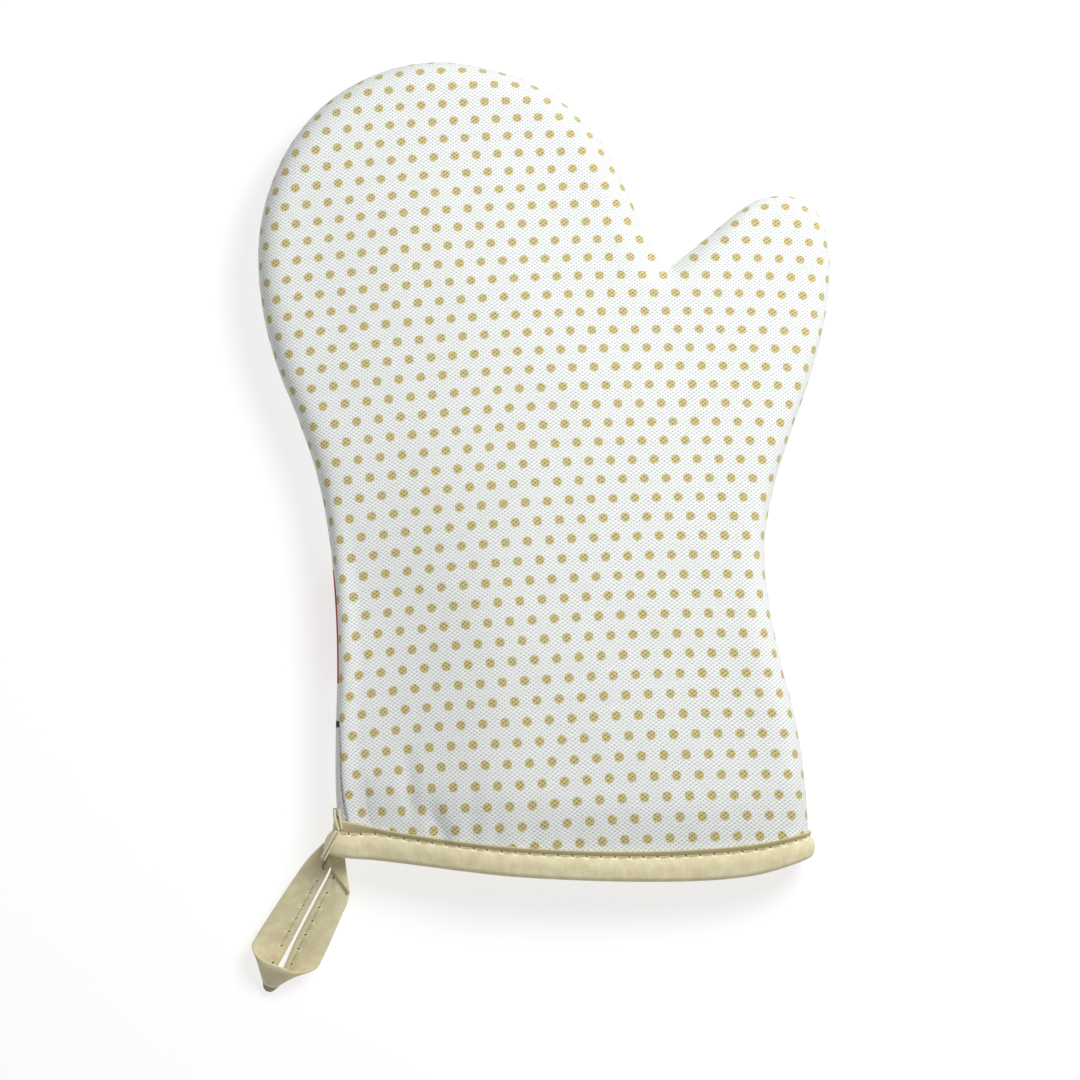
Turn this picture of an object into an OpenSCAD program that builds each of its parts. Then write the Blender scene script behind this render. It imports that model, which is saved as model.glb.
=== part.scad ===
// Padded oven mitt, lying flat with the palm side up.
// +X points to the thumb side, +Y to the fingertips, +Z up through the thickness.
// The origin is under the middle of the whole object, on the surface that it rests on.
// Each side of the mitt is a sandwich of cotton shell, batting and lining. The sandwich is cut at the
// two lines where the mitt bends, because each part of a bending mitt is a body of its own.

/* [Mitt] */
// Length of the mitt without its loop
mitt_length = 260; // [240:5:280]
// Width across the palm and thumb
mitt_width = 182; // [170:2:194]
// Thickness from the resting face to the mid plane where the two sides are sewn together
half_thickness = 12; // [11:0.5:14]
// How much higher the palm side stands at its middle
palm_crown = 1.5; // [0:0.25:3]
// Distance over which the pillow rises from the seam to its full height
edge_roll = 11; // [10:1:18]
// How much flatter each side is where the binding squeezes it
mouth_dip = 3.4; // [2:0.1:3.8]

/* [Layers] */
// Thickness of the printed cotton shell
shell_t = 0.8; // [0.5:0.1:1.2]
// Thickness of the batting
batting_t = 5.2; // [4:0.2:6]
// Thickness of the cotton lining
lining_t = 0.8; // [0.5:0.1:1.2]
// Gap left between neighbouring layers
layer_ease = 0.12; // [0.1:0.02:0.2]
// Gap left in the layers at each bend line
bend_gap = 0.8; // [0.6:0.1:1.2]

/* [Tape] */
// Finished width of the folded tape
tape_w = 10; // [8:0.5:12]
// Thickness of the folded tape
tape_t = 1; // [0.8:0.1:1.4]
// Distance from one stitch to the next along the binding
stitch_pitch = 4.15; // [3:0.05:5]
// Thickness of the sewing thread
thread_t = 0.45; // [0.3:0.05:0.6]

/* [Hidden] */

// Steps in each stretch between two outline points
span_steps = 6;
// Cells across and along each piece of a layer
hand_cells = [14, 12];
finger_cells = [14, 8];
thumb_cells = [10, 8];

// Outline from the lower left corner of the cuff, over the fingertips, to the crotch of the thumb
finger_side = [
    [-62.4, -104.5], [-64.6, -86], [-64.8, -66], [-64.3, -45], [-64.9, -24], [-66.8, -3], [-70.6, 17],
    [-76.8, 35.5], [-83.4, 52], [-88.0, 70], [-89.4, 89], [-86.6, 106], [-79.2, 122.5], [-67.2, 136.2],
    [-51, 145.4], [-33, 148.9], [-14.5, 146.4], [2.5, 139.6], [16.8, 127.6], [26.6, 111.6], [33.4, 95],
    [40.6, 83]
];
// Outline from the crotch, round the thumb, to the lower right corner of the cuff
thumb_side = [
    [40.6, 83], [53.6, 93.4], [67.6, 104.2], [80.4, 106.2], [89.8, 99], [92.6, 84.5], [90.8, 66], [86, 48],
    [80, 30.5], [74.6, 13], [71.8, -5.5], [73.4, -24.5], [77.4, -43.5], [82.0, -62], [84.8, -82], [86.2, -104.5]
];
// Which outline points end the bend line and the fingertip, and which end the thumb tip and the thumb's root
fold_left = 9;
tip_left = 13;
tip_right = 17;
fold_right = 20;
thumb_tip_in = 3;
thumb_tip_out = 4;
wrist = 10;

base_length = 260;
base_width = 182;
outline_scale = [mitt_width / base_width, mitt_length / base_length];
// How far the mouth of the cuff bows out below its two corners
mouth_bow = 7;
// Distance over which the cuff gets flatter towards its mouth
mouth_run = 26;
// Distance over which the palm's crown rises
crown_run = 55;
// Widths along the seam in which the batting and the lining are squeezed flat
batting_flat = 3;
lining_flat = 5;
// Heights above the mid plane at which the lining, the batting and the shell end in the seam
lining_edge = 0.45;
batting_edge = 0.85;
shell_edge = 1.45;
// Half of the gap between the two shells, where the seam's thread lies
seam_half = 0.25;
mid = half_thickness;

// Loop: the tape's gap edge and outer edge at points along it, from the left leg round the end
loop_gap_edge = [
    [-68, -109.2, 8.2], [-73, -119.5, 5.8], [-79, -131, 3.2], [-83.4, -139, 2],
    [-87.6, -145.4, 1.3], [-86.4, -147.9, 1.2], [-84, -146, 1.3], [-81.4, -139.4, 2.2],
    [-78.3, -132, 3.4], [-72.2, -120, 6], [-67.2, -109.8, 8.2]
];
loop_outer_edge = [
    [-75.6, -105.6, 8.2], [-83.6, -119, 7], [-90.2, -130.2, 6.4], [-91.8, -133.6, 7.2],
    [-89.4, -137, 8.6], [-82.4, -140, 9.6], [-77, -141.7, 9], [-71.4, -140.2, 7.4],
    [-68.6, -135.6, 6.6], [-64.2, -125, 7.2], [-60, -114.2, 8.2]
];
loop_steps = 4;
// Rings of the loop between which its stitches lie, on the left and on the right leg
loop_stitched = [[1, 8], [32, 39]];
// Share of the tape's width between its gap edge and its stitches
loop_stitch_share = 0.2;
// Tape between the seam and the swinging part of the loop
loop_root_plan = [
    [-66, -98.6], [-68.8, -98.6], [-74.9, -104.9], [-67.8, -108.2], [-60.4, -112.6], [-60.4, -108.6],
    [-65.4, -106.6]
];
loop_root_z = 7.4;
loop_root_t = 1.2 * tape_t;
loop_half_t = 0.6 * tape_t;
// The loop's two raw tape ends, from their outer to their inner end
tail_t = 1.6;
upper_tail = [[-66.2, -96], [-66.4, -88.6]];
lower_tail = [[-65.9, -97.4], [-70.2, -102.2]];
tail_width = 2;
tail_z = 10.4;
// Threads that tack the loop's root down: the middle of the first one, their length, number and pitch
tack_start = [-66.6, -100.8];
tack_length = 2.6;
tack_threads = 4;
tack_pitch = 0.9;
tack_lift = 0.02;

// Height of the binding's tape above the mouth's edge, of the stitches in it and of its puffed lower part
tape_below = 1.3;
stitch_from_top = 2.2;
tape_top = tape_w - tape_below;
stitch_up = tape_top - stitch_from_top;
puff_up = 0.25 * tape_top;
// How far the tape's face stands off at the stitches, at the puffed part and round the fold
stitched_face = 0.7 * tape_t;
puffed_face = 1.5 * tape_t;
folded_face = 0.4 * tape_t;
// Room between the binding and the layers that it holds, outside them and inside them
tape_ease = 0.4;
inner_ease = 0.6;
// How far the binding's inner leg keeps from the side seams
inner_inset = lining_flat + 1;
// How far the binding reaches past the edge of the layers
tape_reach = 1.5;
// Length of one stitch as a share of the pitch, and how far the stitches keep from the side seams
stitch_share = 0.8;
stitch_margin = 7;
// How high a stitch's middle lies above its tape, and the stretch over which the tape's slope is taken
thread_up = 0.62 * thread_t;
slope_half = 1;
// Edges of the side seam's thread inside the outline, the outline point it starts at, and its ease
seam_thread = [0.4, 1.2];
seam_start = 4;
seam_ease = layer_ease / 4;
// The strip beside the thumb's root line: from past the wrist, to short of the crotch, and across
root_strip = [1, 0.2, 3];

cotton = [0.93, 0.925, 0.9];
plain_cotton = [0.9, 0.89, 0.85];
padding = [0.97, 0.97, 0.96];
tape = [0.85, 0.8, 0.66];
thread = [0.8, 0.76, 0.64];

// ---- curves ----
function spline_point(a, b, c, d, t) =
    0.5 * (2 * b + (c - a) * t + (2 * a - 5 * b + 4 * c - d) * t * t + (3 * b - a - 3 * c + d) * t * t * t);
function spline(p, steps) =
    let (k = len(p), q = concat([2 * p[0] - p[1]], p, [2 * p[k - 1] - p[k - 2]]))
    concat([for (i = [0:k - 2]) for (j = [0:steps - 1])
        spline_point(q[i], q[i + 1], q[i + 2], q[i + 3], j / steps)], [p[k - 1]]);
function part_of(curve, first, last) = [for (i = [first * span_steps:last * span_steps]) curve[i]];
function reversed(c) = [for (i = [len(c) - 1:-1:0]) c[i]];
function lengths(c) =
    [for (i = 0, s = 0; i < len(c); s = s + (i < len(c) - 1 ? norm(c[i + 1] - c[i]) : 0), i = i + 1) s];
// Points of a curve at the given fractions of its length
function at_fractions(c, fractions) =
    let (s = lengths(c), total = s[len(s) - 1])
    let (xs = [for (i = [0:len(c) - 1]) [s[i] / total, c[i].x]])
    let (ys = [for (i = [0:len(c) - 1]) [s[i] / total, c[i].y]])
    [for (f = fractions) [lookup(f, xs), lookup(f, ys)]];
// A curve moved to its right hand side, which is the inside of the outline
function inset(c, d) = d == 0 ? c : [for (i = [0:len(c) - 1])
    let (a = c[max(i - 1, 0)], b = c[min(i + 1, len(c) - 1)], t = (b - a) / norm(b - a))
    c[i] + d * [t.y, -t.x]];
function smooth(t) = let (s = min(max(t, 0), 1)) s * s * (3 - 2 * s);
function segment_gap(p, a, b) =
    let (ab = b - a, t = min(max((p - a) * ab / (ab * ab), 0), 1)) norm(p - a - t * ab);

scaled_fingers = [for (p = finger_side) [p.x * outline_scale.x, p.y * outline_scale.y]];
scaled_thumb = [for (p = thumb_side) [p.x * outline_scale.x, p.y * outline_scale.y]];
loop_gap = spline(loop_gap_edge, loop_steps);
loop_outer = spline(loop_outer_edge, loop_steps);
loop_plan = concat(loop_gap, loop_outer);
rough = concat(spline(scaled_fingers, span_steps), spline(scaled_thumb, span_steps));
low = [min([for (p = concat(rough, loop_plan)) p.x]), min([for (p = concat(rough, loop_plan)) p.y])];
high = [max([for (p = concat(rough, loop_plan)) p.x]), max([for (p = concat(rough, loop_plan)) p.y])];
// Puts the middle of the whole object over the origin
centre = (low + high) / 2;
function centred(points) = [for (p = points) p - centre];
finger_curve = centred(spline(scaled_fingers, span_steps));
thumb_curve = centred(spline(scaled_thumb, span_steps));
outline = concat(finger_curve, thumb_curve);
function seam_distance(p) = min([for (i = [0:len(outline) - 2]) segment_gap(p, outline[i], outline[i + 1])]);

fold_a = finger_curve[fold_left * span_steps];
fold_b = finger_curve[fold_right * span_steps];
fold_dir = (fold_b - fold_a) / norm(fold_b - fold_a);
finger_dir = [-fold_dir.y, fold_dir.x];
crotch = thumb_curve[0];
wrist_point = thumb_curve[wrist * span_steps];
root_dir = (crotch - wrist_point) / norm(crotch - wrist_point);
thumb_dir = [root_dir.y, -root_dir.x];

mouth_left = finger_curve[0];
mouth_right = thumb_curve[len(thumb_curve) - 1];
// Y of the mouth's edge at x
function mouth_y(x) =
    let (t = (x - mouth_left.x) / (mouth_right.x - mouth_left.x))
    mouth_left.y + t * (mouth_right.y - mouth_left.y) - mouth_bow * (1 - pow(2 * t - 1, 2));

// ---- heights above the mid plane, at distance d from the seam ----
function rise(d, run) = let (q = min(max(d / run, 0), 1)) sqrt(1 - (1 - q) * (1 - q));
function dip(p) = mouth_dip * (1 - smooth((p.y - mouth_y(p.x)) / mouth_run));
function crown(p, d, side) = side > 0 ? palm_crown * smooth((d - edge_roll) / crown_run) : 0;
function pillow(p, d, side, edge, top, flat) =
    edge + (top - edge) * rise(d - flat, edge_roll) + crown(p, d, side);
function shell_out(p, d, side) = pillow(p, d, side, shell_edge, half_thickness - dip(p), 0);
function shell_in(p, d, side) =
    pillow(p, d, side, batting_edge, half_thickness - dip(p) - shell_t, shell_t);
function batting_in(p, d, side) =
    pillow(p, d, side, lining_edge, half_thickness - shell_t - layer_ease - batting_t, batting_flat);
function lining_in(p, d, side) =
    let (top = half_thickness - shell_t - 2 * layer_ease - batting_t - lining_t)
    pillow(p, d, side, seam_half, top, lining_flat);

// ---- patches ----
function even_steps(n) = [for (i = [0:n]) i / n];
function dense_ends(n) = [for (i = [0:n]) (1 - cos(180 * i / n)) / 2];
function dense_end(n) = [for (i = [0:n]) sin(90 * i / n)];
// Plan points of a patch between four border curves, row by row from the near one to the far one
function patch(near, far, left, right, us, vs) =
    let (n = at_fractions(near, us), f = at_fractions(far, us))
    let (l = at_fractions(left, vs), r = at_fractions(right, vs))
    let (a = n[0], b = n[len(n) - 1], c = f[0], e = f[len(f) - 1])
    [for (j = [0:len(vs) - 1]) let (v = vs[j]) [for (i = [0:len(us) - 1]) let (u = us[i])
        (1 - v) * n[i] + v * f[i] + (1 - u) * l[j] + u * r[j]
        - ((1 - u) * (1 - v) * a + u * (1 - v) * b + (1 - u) * v * c + u * v * e)]];

function mouth_curve(a, b) = [for (t = [0:0.1:1]) let (x = a.x + t * (b.x - a.x)) [x, mouth_y(x)]];

hand_plan =
    let (left = part_of(finger_curve, 0, fold_left))
    let (neck = part_of(finger_curve, fold_right, len(finger_side) - 1))
    let (cuff = part_of(thumb_curve, wrist, len(thumb_side) - 1))
    let (right = concat(reversed(cuff), reversed(neck)))
    let (g = bend_gap / 2, top = len(left) - 1)
    let (grid = patch(
        mouth_curve(left[0], right[0]), [left[top], neck[0]], left, right,
        dense_ends(hand_cells.x), even_steps(hand_cells.y)))
    [for (row = grid) [for (p = row)
        let (q = p - finger_dir * max((p - fold_b) * finger_dir + g, 0))
        q - thumb_dir * max((q - crotch) * thumb_dir + g, 0) * (on_root(q) ? 1 : 0)]];
// Whether a point lies beside the thumb's root line
function on_root(p) =
    (p - wrist_point) * root_dir > root_strip[0] && (crotch - p) * root_dir > root_strip[1]
    && (p - crotch) * thumb_dir < root_strip[2];
finger_plan =
    let (c = finger_curve, g = bend_gap / 2)
    let (left = part_of(c, fold_left, tip_left), right = reversed(part_of(c, tip_right, fold_right)))
    let (grid = patch(
        [left[0], right[0]], part_of(c, tip_left, tip_right), left, right,
        dense_ends(finger_cells.x), dense_end(finger_cells.y)))
    [for (row = grid) [for (p = row) p + finger_dir * max(g - (p - fold_b) * finger_dir, 0)]];
thumb_plan =
    let (c = thumb_curve, g = bend_gap / 2)
    let (left = part_of(c, 0, thumb_tip_in), right = reversed(part_of(c, thumb_tip_out, wrist)))
    let (grid = patch(
        [left[0], right[0]], part_of(c, thumb_tip_in, thumb_tip_out), left, right,
        dense_ends(thumb_cells.x), dense_end(thumb_cells.y)))
    [for (row = grid) [for (p = row) p + thumb_dir * max(g - (p - crotch) * thumb_dir, 0)]];

// A closed solid between two height fields over one grid of plan points
module slab(grid, upper, lower) {
    rows = len(grid);
    cols = len(grid[0]);
    n = rows * cols;
    top = [for (j = [0:rows - 1]) for (i = [0:cols - 1]) [grid[j][i].x, grid[j][i].y, upper[j][i]]];
    under = [for (j = [0:rows - 1]) for (i = [0:cols - 1]) [grid[j][i].x, grid[j][i].y, lower[j][i]]];
    rim = concat(
        [for (i = [0:cols - 1]) i], [for (j = [1:rows - 1]) j * cols + cols - 1],
        [for (i = [cols - 2:-1:0]) (rows - 1) * cols + i], [for (j = [rows - 2:-1:1]) j * cols]);
    k = len(rim);
    polyhedron(
        concat(top, under),
        concat(
            [for (j = [0:rows - 2]) for (i = [0:cols - 2]) let (a = j * cols + i) [a + cols + 1, a + 1, a]],
            [for (j = [0:rows - 2]) for (i = [0:cols - 2]) let (a = j * cols + i) [a + cols, a + cols + 1, a]],
            [for (j = [0:rows - 2]) for (i = [0:cols - 2]) let (a = n + j * cols + i) [a, a + 1, a + cols + 1]],
            [for (j = [0:rows - 2]) for (i = [0:cols - 2]) let (a = n + j * cols + i) [a, a + cols + 1, a + cols]],
            [for (i = [0:k - 1]) [rim[i], rim[(i + 1) % k], n + rim[(i + 1) % k]]],
            [for (i = [0:k - 1]) [rim[i], n + rim[(i + 1) % k], n + rim[i]]]));
}

// side is 1 for the palm and -1 for the back; the heights run away from the mid plane
module layer(grid, side, outer, inner) {
    far = [for (row = grid) [for (h = row) mid + side * outer(h, seam_distance(h), side)]];
    near = [for (row = grid) [for (h = row) mid + side * inner(h, seam_distance(h), side)]];
    slab(grid, side > 0 ? far : near, side > 0 ? near : far);
}
module shell_layer(grid, side) {
    layer(grid, side, function(p, d, s) shell_out(p, d, s), function(p, d, s) shell_in(p, d, s));
}
module batting_layer(grid, side) {
    layer(grid, side,
        function(p, d, s) shell_in(p, d, s) - layer_ease, function(p, d, s) batting_in(p, d, s));
}
module lining_layer(grid, side) {
    layer(grid, side,
        function(p, d, s) batting_in(p, d, s) - layer_ease, function(p, d, s) lining_in(p, d, s));
}

// ---- the six layers, each in three pieces ----
module palm_shell_hand() { color(cotton) shell_layer(hand_plan, 1); }
module palm_shell_fingers() { color(cotton) shell_layer(finger_plan, 1); }
module palm_shell_thumb() { color(cotton) shell_layer(thumb_plan, 1); }
module palm_batting_hand() { color(padding) batting_layer(hand_plan, 1); }
module palm_batting_fingers() { color(padding) batting_layer(finger_plan, 1); }
module palm_batting_thumb() { color(padding) batting_layer(thumb_plan, 1); }
module palm_lining_hand() { color(plain_cotton) lining_layer(hand_plan, 1); }
module palm_lining_fingers() { color(plain_cotton) lining_layer(finger_plan, 1); }
module palm_lining_thumb() { color(plain_cotton) lining_layer(thumb_plan, 1); }
module back_shell_hand() { color(cotton) shell_layer(hand_plan, -1); }
module back_shell_fingers() { color(cotton) shell_layer(finger_plan, -1); }
module back_shell_thumb() { color(cotton) shell_layer(thumb_plan, -1); }
module back_batting_hand() { color(padding) batting_layer(hand_plan, -1); }
module back_batting_fingers() { color(padding) batting_layer(finger_plan, -1); }
module back_batting_thumb() { color(padding) batting_layer(thumb_plan, -1); }
module back_lining_hand() { color(plain_cotton) lining_layer(hand_plan, -1); }
module back_lining_fingers() { color(plain_cotton) lining_layer(finger_plan, -1); }
module back_lining_thumb() { color(plain_cotton) lining_layer(thumb_plan, -1); }

// ---- the thread of the side seam ----
function seam_strip(c, first, last) = let (e = len(c) - 1)
    concat(
        [for (i = [first:last]) inset(c, seam_thread[0])[i]],
        [for (i = [last:-1:first]) inset(c, seam_thread[1])[i]]);
module seam(c, first, last) {
    translate([0, 0, mid - seam_half + seam_ease]) linear_extrude(2 * (seam_half - seam_ease))
        polygon(seam_strip(c, first, last));
}
module side_seam_hand() {
    color(thread) {
        seam(finger_curve, seam_start, fold_left * span_steps - 1);
        seam(finger_curve, fold_right * span_steps + 1, len(finger_curve) - 2);
        seam(thumb_curve, wrist * span_steps + 1, len(thumb_curve) - 1 - seam_start);
    }
}
module side_seam_fingers() {
    color(thread) seam(finger_curve, fold_left * span_steps + 1, fold_right * span_steps - 1);
}
module side_seam_thumb() { color(thread) seam(thumb_curve, 2, wrist * span_steps - 1); }

// ---- the binding round the mouth of the cuff ----
left_side = [for (i = [0:3 * span_steps]) [finger_curve[i].y, finger_curve[i].x]];
right_side = [for (i = [len(thumb_curve) - 1:-1:len(thumb_curve) - 1 - 3 * span_steps])
    [thumb_curve[i].y, thumb_curve[i].x]];
stations = dense_ends(hand_cells.x);
// A point of the binding: up the tape, across the mouth, side, inside or outside of the layers, distance from them
function binding_point(up, u, side, inner, away) =
    let (in = inner ? inner_inset : 0)
    let (y0 = mouth_y(mouth_left.x + in + u * (mouth_right.x - mouth_left.x - 2 * in)) + up)
    let (l = lookup(y0, left_side), r = lookup(y0, right_side))
    let (base = [l + in + u * (r - l - 2 * in), y0])
    let (p = [base.x, max(y0, mouth_y(base.x))], d = seam_distance(p))
    let (h = inner ? lining_in(p, d, side) - away : shell_out(p, d, side) + away)
    let (spread = (inner ? away : -away) * (1 - 2 * u))
    [base.x + spread, y0, mid + side * max(h, seam_half)];
// The folded tape's section, from the outside of its top edge round the mouth's edge to the inside
binding_section = [
    [tape_top, false, tape_ease + tape_t], [stitch_up, false, tape_ease + stitched_face],
    [puff_up, false, tape_ease + puffed_face], [-tape_reach, false, tape_ease + folded_face],
    [-tape_reach, true, inner_ease], [puff_up, true, inner_ease + tape_t],
    [tape_top, true, inner_ease + tape_t], [tape_top, true, inner_ease],
    [-tape_ease, true, inner_ease], [-tape_ease, false, tape_ease], [tape_top, false, tape_ease]
];
function binding_ring(u, side) = [for (s = binding_section) binding_point(s[0], u, side, s[1], s[2])];
// A closed solid through rings of points; the last ring joins the first when loop is true
module skin(rings, loop) {
    m = len(rings[0]);
    k = len(rings);
    last = loop ? k - 1 : k - 2;
    ends = loop ? [] : [[for (j = [0:m - 1]) j], [for (j = [m - 1:-1:0]) (k - 1) * m + j]];
    polyhedron(
        [for (r = rings) for (p = r) p],
        concat(
            [for (i = [0:last]) for (j = [0:m - 1])
                let (a = i * m, b = ((i + 1) % k) * m, n = (j + 1) % m) [a + j, b + j, b + n]],
            [for (i = [0:last]) for (j = [0:m - 1])
                let (a = i * m, b = ((i + 1) % k) * m, n = (j + 1) % m) [a + j, b + n, a + n]],
            ends));
}
module cuff_binding() {
    n = len(stations);
    color(tape) skin(
        concat(
            [for (i = [0:n - 1]) binding_ring(stations[i], 1)],
            [for (i = [n - 1:-1:0]) binding_ring(stations[i], -1)]),
        true);
}
// Height of the tape's outside along the row of stitches
function stitch_line(side) =
    [for (u = stations) binding_point(stitch_up, u, side, false, tape_ease + stitched_face)];
module cuff_topstitch() {
    width = mouth_right.x - mouth_left.x - 2 * stitch_margin;
    count = floor(width / stitch_pitch);
    size = [stitch_share * stitch_pitch, thread_t, thread_t];
    color(thread) for (side = [1, -1]) {
        line = stitch_line(side);
        zs = [for (p = line) [p.x, p.z]];
        ys = [for (p = line) [p.x, p.y]];
        for (i = [0:count - 1]) {
            x = mouth_left.x + stitch_margin + (i + 0.5) * width / count;
            a = [x - slope_half, lookup(x - slope_half, ys), lookup(x - slope_half, zs)];
            b = [x + slope_half, lookup(x + slope_half, ys), lookup(x + slope_half, zs)];
            t = (b - a) / norm(b - a);
            n = side * cross(t, [0, 1, 0]) / norm(cross(t, [0, 1, 0])) * -1;
            place((a + b) / 2 + thread_up * [-n.x, 0, abs(n.z) * side], t, n) cube(size, center = true);
        }
    }
}
// Turns a child's X to t and its Z to n
module place(p, t, n) {
    s = cross(n, t);
    multmatrix([[t.x, s.x, n.x, p.x], [t.y, s.y, n.y, p.y], [t.z, s.z, n.z, p.z], [0, 0, 0, 1]]) children();
}

// ---- the hanging loop ----
loop_gap_c = [for (p = loop_gap) p - [centre.x, centre.y, 0]];
loop_outer_c = [for (p = loop_outer) p - [centre.x, centre.y, 0]];
function unit(v) = v / norm(v);
function loop_across(i) = unit(loop_outer_c[i] - loop_gap_c[i]);
function loop_middle(i) = (loop_outer_c[i] + loop_gap_c[i]) / 2;
function loop_normal(i) =
    let (a = max(i - 1, 0), b = min(i + 1, len(loop_gap_c) - 1))
    unit(cross(loop_across(i), unit(loop_middle(b) - loop_middle(a))));
module hanging_loop() {
    color(tape) skin(
        [for (i = [0:len(loop_gap_c) - 1]) let (n = loop_half_t * loop_normal(i))
            [loop_gap_c[i] + n, loop_outer_c[i] + n, loop_outer_c[i] - n, loop_gap_c[i] - n]],
        false);
}
function on_loop(i) = loop_gap_c[i] + loop_stitch_share * (loop_outer_c[i] - loop_gap_c[i]);
module loop_stitching() {
    color(thread) for (leg = loop_stitched) for (i = [leg[0]:leg[1] - 1]) {
        t = unit(on_loop(i + 1) - on_loop(i));
        n = unit(loop_normal(i) - (loop_normal(i) * t) * t);
        up = n.z > 0 ? n : -n;
        place((on_loop(i) + on_loop(i + 1)) / 2 + (loop_half_t + thread_up) * up, t, up)
            cube([stitch_share * norm(on_loop(i + 1) - on_loop(i)), thread_t, thread_t], center = true);
    }
}
module loop_root() {
    color(tape) translate([-centre.x, -centre.y, loop_root_z])
        linear_extrude(loop_root_t) polygon(loop_root_plan);
}
module tail(ends) {
    d = ends[1] - ends[0];
    translate([ends[0].x - centre.x, ends[0].y - centre.y, tail_z]) rotate([0, 0, atan2(d.y, d.x)])
        translate([0, -tail_t / 2, 0]) cube([norm(d), tail_t, tail_width]);
}
module loop_tail_upper() { color(tape) tail(upper_tail); }
module loop_tail_lower() { color(tape) tail(lower_tail); }
module loop_tack() {
    color(thread) for (i = [0:tack_threads - 1])
        translate([
            tack_start.x - centre.x, tack_start.y - i * tack_pitch - centre.y,
            loop_root_z + loop_root_t + tack_lift + thread_t / 2])
            cube([tack_length, thread_t, thread_t], center = true);
}

palm_shell_hand();
palm_shell_fingers();
palm_shell_thumb();
palm_batting_hand();
palm_batting_fingers();
palm_batting_thumb();
palm_lining_hand();
palm_lining_fingers();
palm_lining_thumb();
back_shell_hand();
back_shell_fingers();
back_shell_thumb();
back_batting_hand();
back_batting_fingers();
back_batting_thumb();
back_lining_hand();
back_lining_fingers();
back_lining_thumb();
side_seam_hand();
side_seam_fingers();
side_seam_thumb();
cuff_binding();
cuff_topstitch();
hanging_loop();
loop_stitching();
loop_root();
loop_tail_upper();
loop_tail_lower();
loop_tack();
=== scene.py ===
"""Looks of the padded oven mitt: printed palm, canvas back, bound cuff and hanging loop.

All sizes here are in millimetres and go through MM when they become Blender metres.
The mitt lies palm up: +X to the thumb side, +Y to the fingertips, +Z up.
"""

import math  # noqa: E402
from functools import partialmethod  # noqa: E402

import bpy  # noqa: E402
import numpy as np  # noqa: E402
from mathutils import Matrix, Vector, noise  # noqa: E402
from mathutils.geometry import delaunay_2d_cdt  # noqa: E402


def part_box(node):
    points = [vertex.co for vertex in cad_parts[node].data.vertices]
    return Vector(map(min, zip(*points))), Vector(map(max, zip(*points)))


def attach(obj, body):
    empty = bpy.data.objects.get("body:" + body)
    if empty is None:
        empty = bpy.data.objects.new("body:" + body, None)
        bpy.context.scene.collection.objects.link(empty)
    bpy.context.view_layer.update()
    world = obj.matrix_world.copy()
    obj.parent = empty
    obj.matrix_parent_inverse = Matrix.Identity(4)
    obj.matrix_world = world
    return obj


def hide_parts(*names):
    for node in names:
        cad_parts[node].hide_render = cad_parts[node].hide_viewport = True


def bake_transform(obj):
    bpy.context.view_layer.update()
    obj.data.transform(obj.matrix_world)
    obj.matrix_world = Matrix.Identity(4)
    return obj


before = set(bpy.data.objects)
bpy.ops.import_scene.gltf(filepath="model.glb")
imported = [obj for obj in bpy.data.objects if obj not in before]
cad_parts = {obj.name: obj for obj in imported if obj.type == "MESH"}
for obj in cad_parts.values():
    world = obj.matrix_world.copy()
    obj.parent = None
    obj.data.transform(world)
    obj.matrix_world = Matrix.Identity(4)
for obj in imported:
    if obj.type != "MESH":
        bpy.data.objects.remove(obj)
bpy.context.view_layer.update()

MM = 0.001

# ---- design, as in the CAD part

# Points of the outline, set along the silhouette that a scratch program traced in the photo
FINGER_SIDE = [
    (-62.4, -104.5), (-64.6, -86), (-64.8, -66), (-64.3, -45), (-64.9, -24), (-66.8, -3), (-70.6, 17),
    (-76.8, 35.5), (-83.4, 52), (-88.0, 70), (-89.4, 89), (-86.6, 106), (-79.2, 122.5), (-67.2, 136.2),
    (-51, 145.4), (-33, 148.9), (-14.5, 146.4), (2.5, 139.6), (16.8, 127.6), (26.6, 111.6), (33.4, 95),
    (40.6, 83),
]
THUMB_SIDE = [
    (40.6, 83), (53.6, 93.4), (67.6, 104.2), (80.4, 106.2), (89.8, 99), (92.6, 84.5), (90.8, 66),
    (86, 48), (80, 30.5), (74.6, 13), (71.8, -5.5), (73.4, -24.5), (77.4, -43.5), (82.0, -62),
    (84.8, -82), (86.2, -104.5),
]
# Lower and upper edge of the binding, from the left to the right side seam
BINDING_LOW = [
    (-63, -103.4), (-62, -103.8), (-44, -106), (-5, -110.2), (38, -111.6), (67, -109.9), (86.6, -104.2)
]
BINDING_HIGH = [
    (-65, -91.3), (-62, -92), (-41, -96.5), (-5, -100.6), (34, -101.7), (67, -99.6), (87, -95.4)
]
WRIST = (71.8, -5.5)

EDGE_RUN = 10.5  # how far from the seam a panel reaches its full height
EDGE_POWER = 3.0  # how square the rolled edge is: 2 is an ellipse
CROTCH_POWER = 2.1
MOUTH_DIP = 3.4  # how much flatter each side is where the binding holds it
MOUTH_RUN = 26.0
CROWN_RUN = 55.0
SHELL = 0.8
TAPE_REACH = 1.5
INNER_HEIGHT = 4.9  # half the height of the pocket inside the lining
CROTCH_ROUND = 2.0
SIDE_STEPS, MOUTH_STEPS = 24, 16  # points of the curves between two given ones
RELIEF_RUN = 0.8 * EDGE_RUN  # how far from the seam the cloth's unevenness is full
CROTCH_POINTS = 13
CUFF_Y = -105.0  # a height on the cuff, where its width is taken
MOUTH_EASE = 20.0  # over what length of the seam the strip turns to lie along the mouth
SEAM_CLIMBS = [(5.2, 6, 26), (3.4, -44, 34)]  # how far the left seam climbs, from what Y, over what length


def smooth(t):
    t = np.clip(t, 0.0, 1.0)
    return t * t * (3 - 2 * t)


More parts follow.
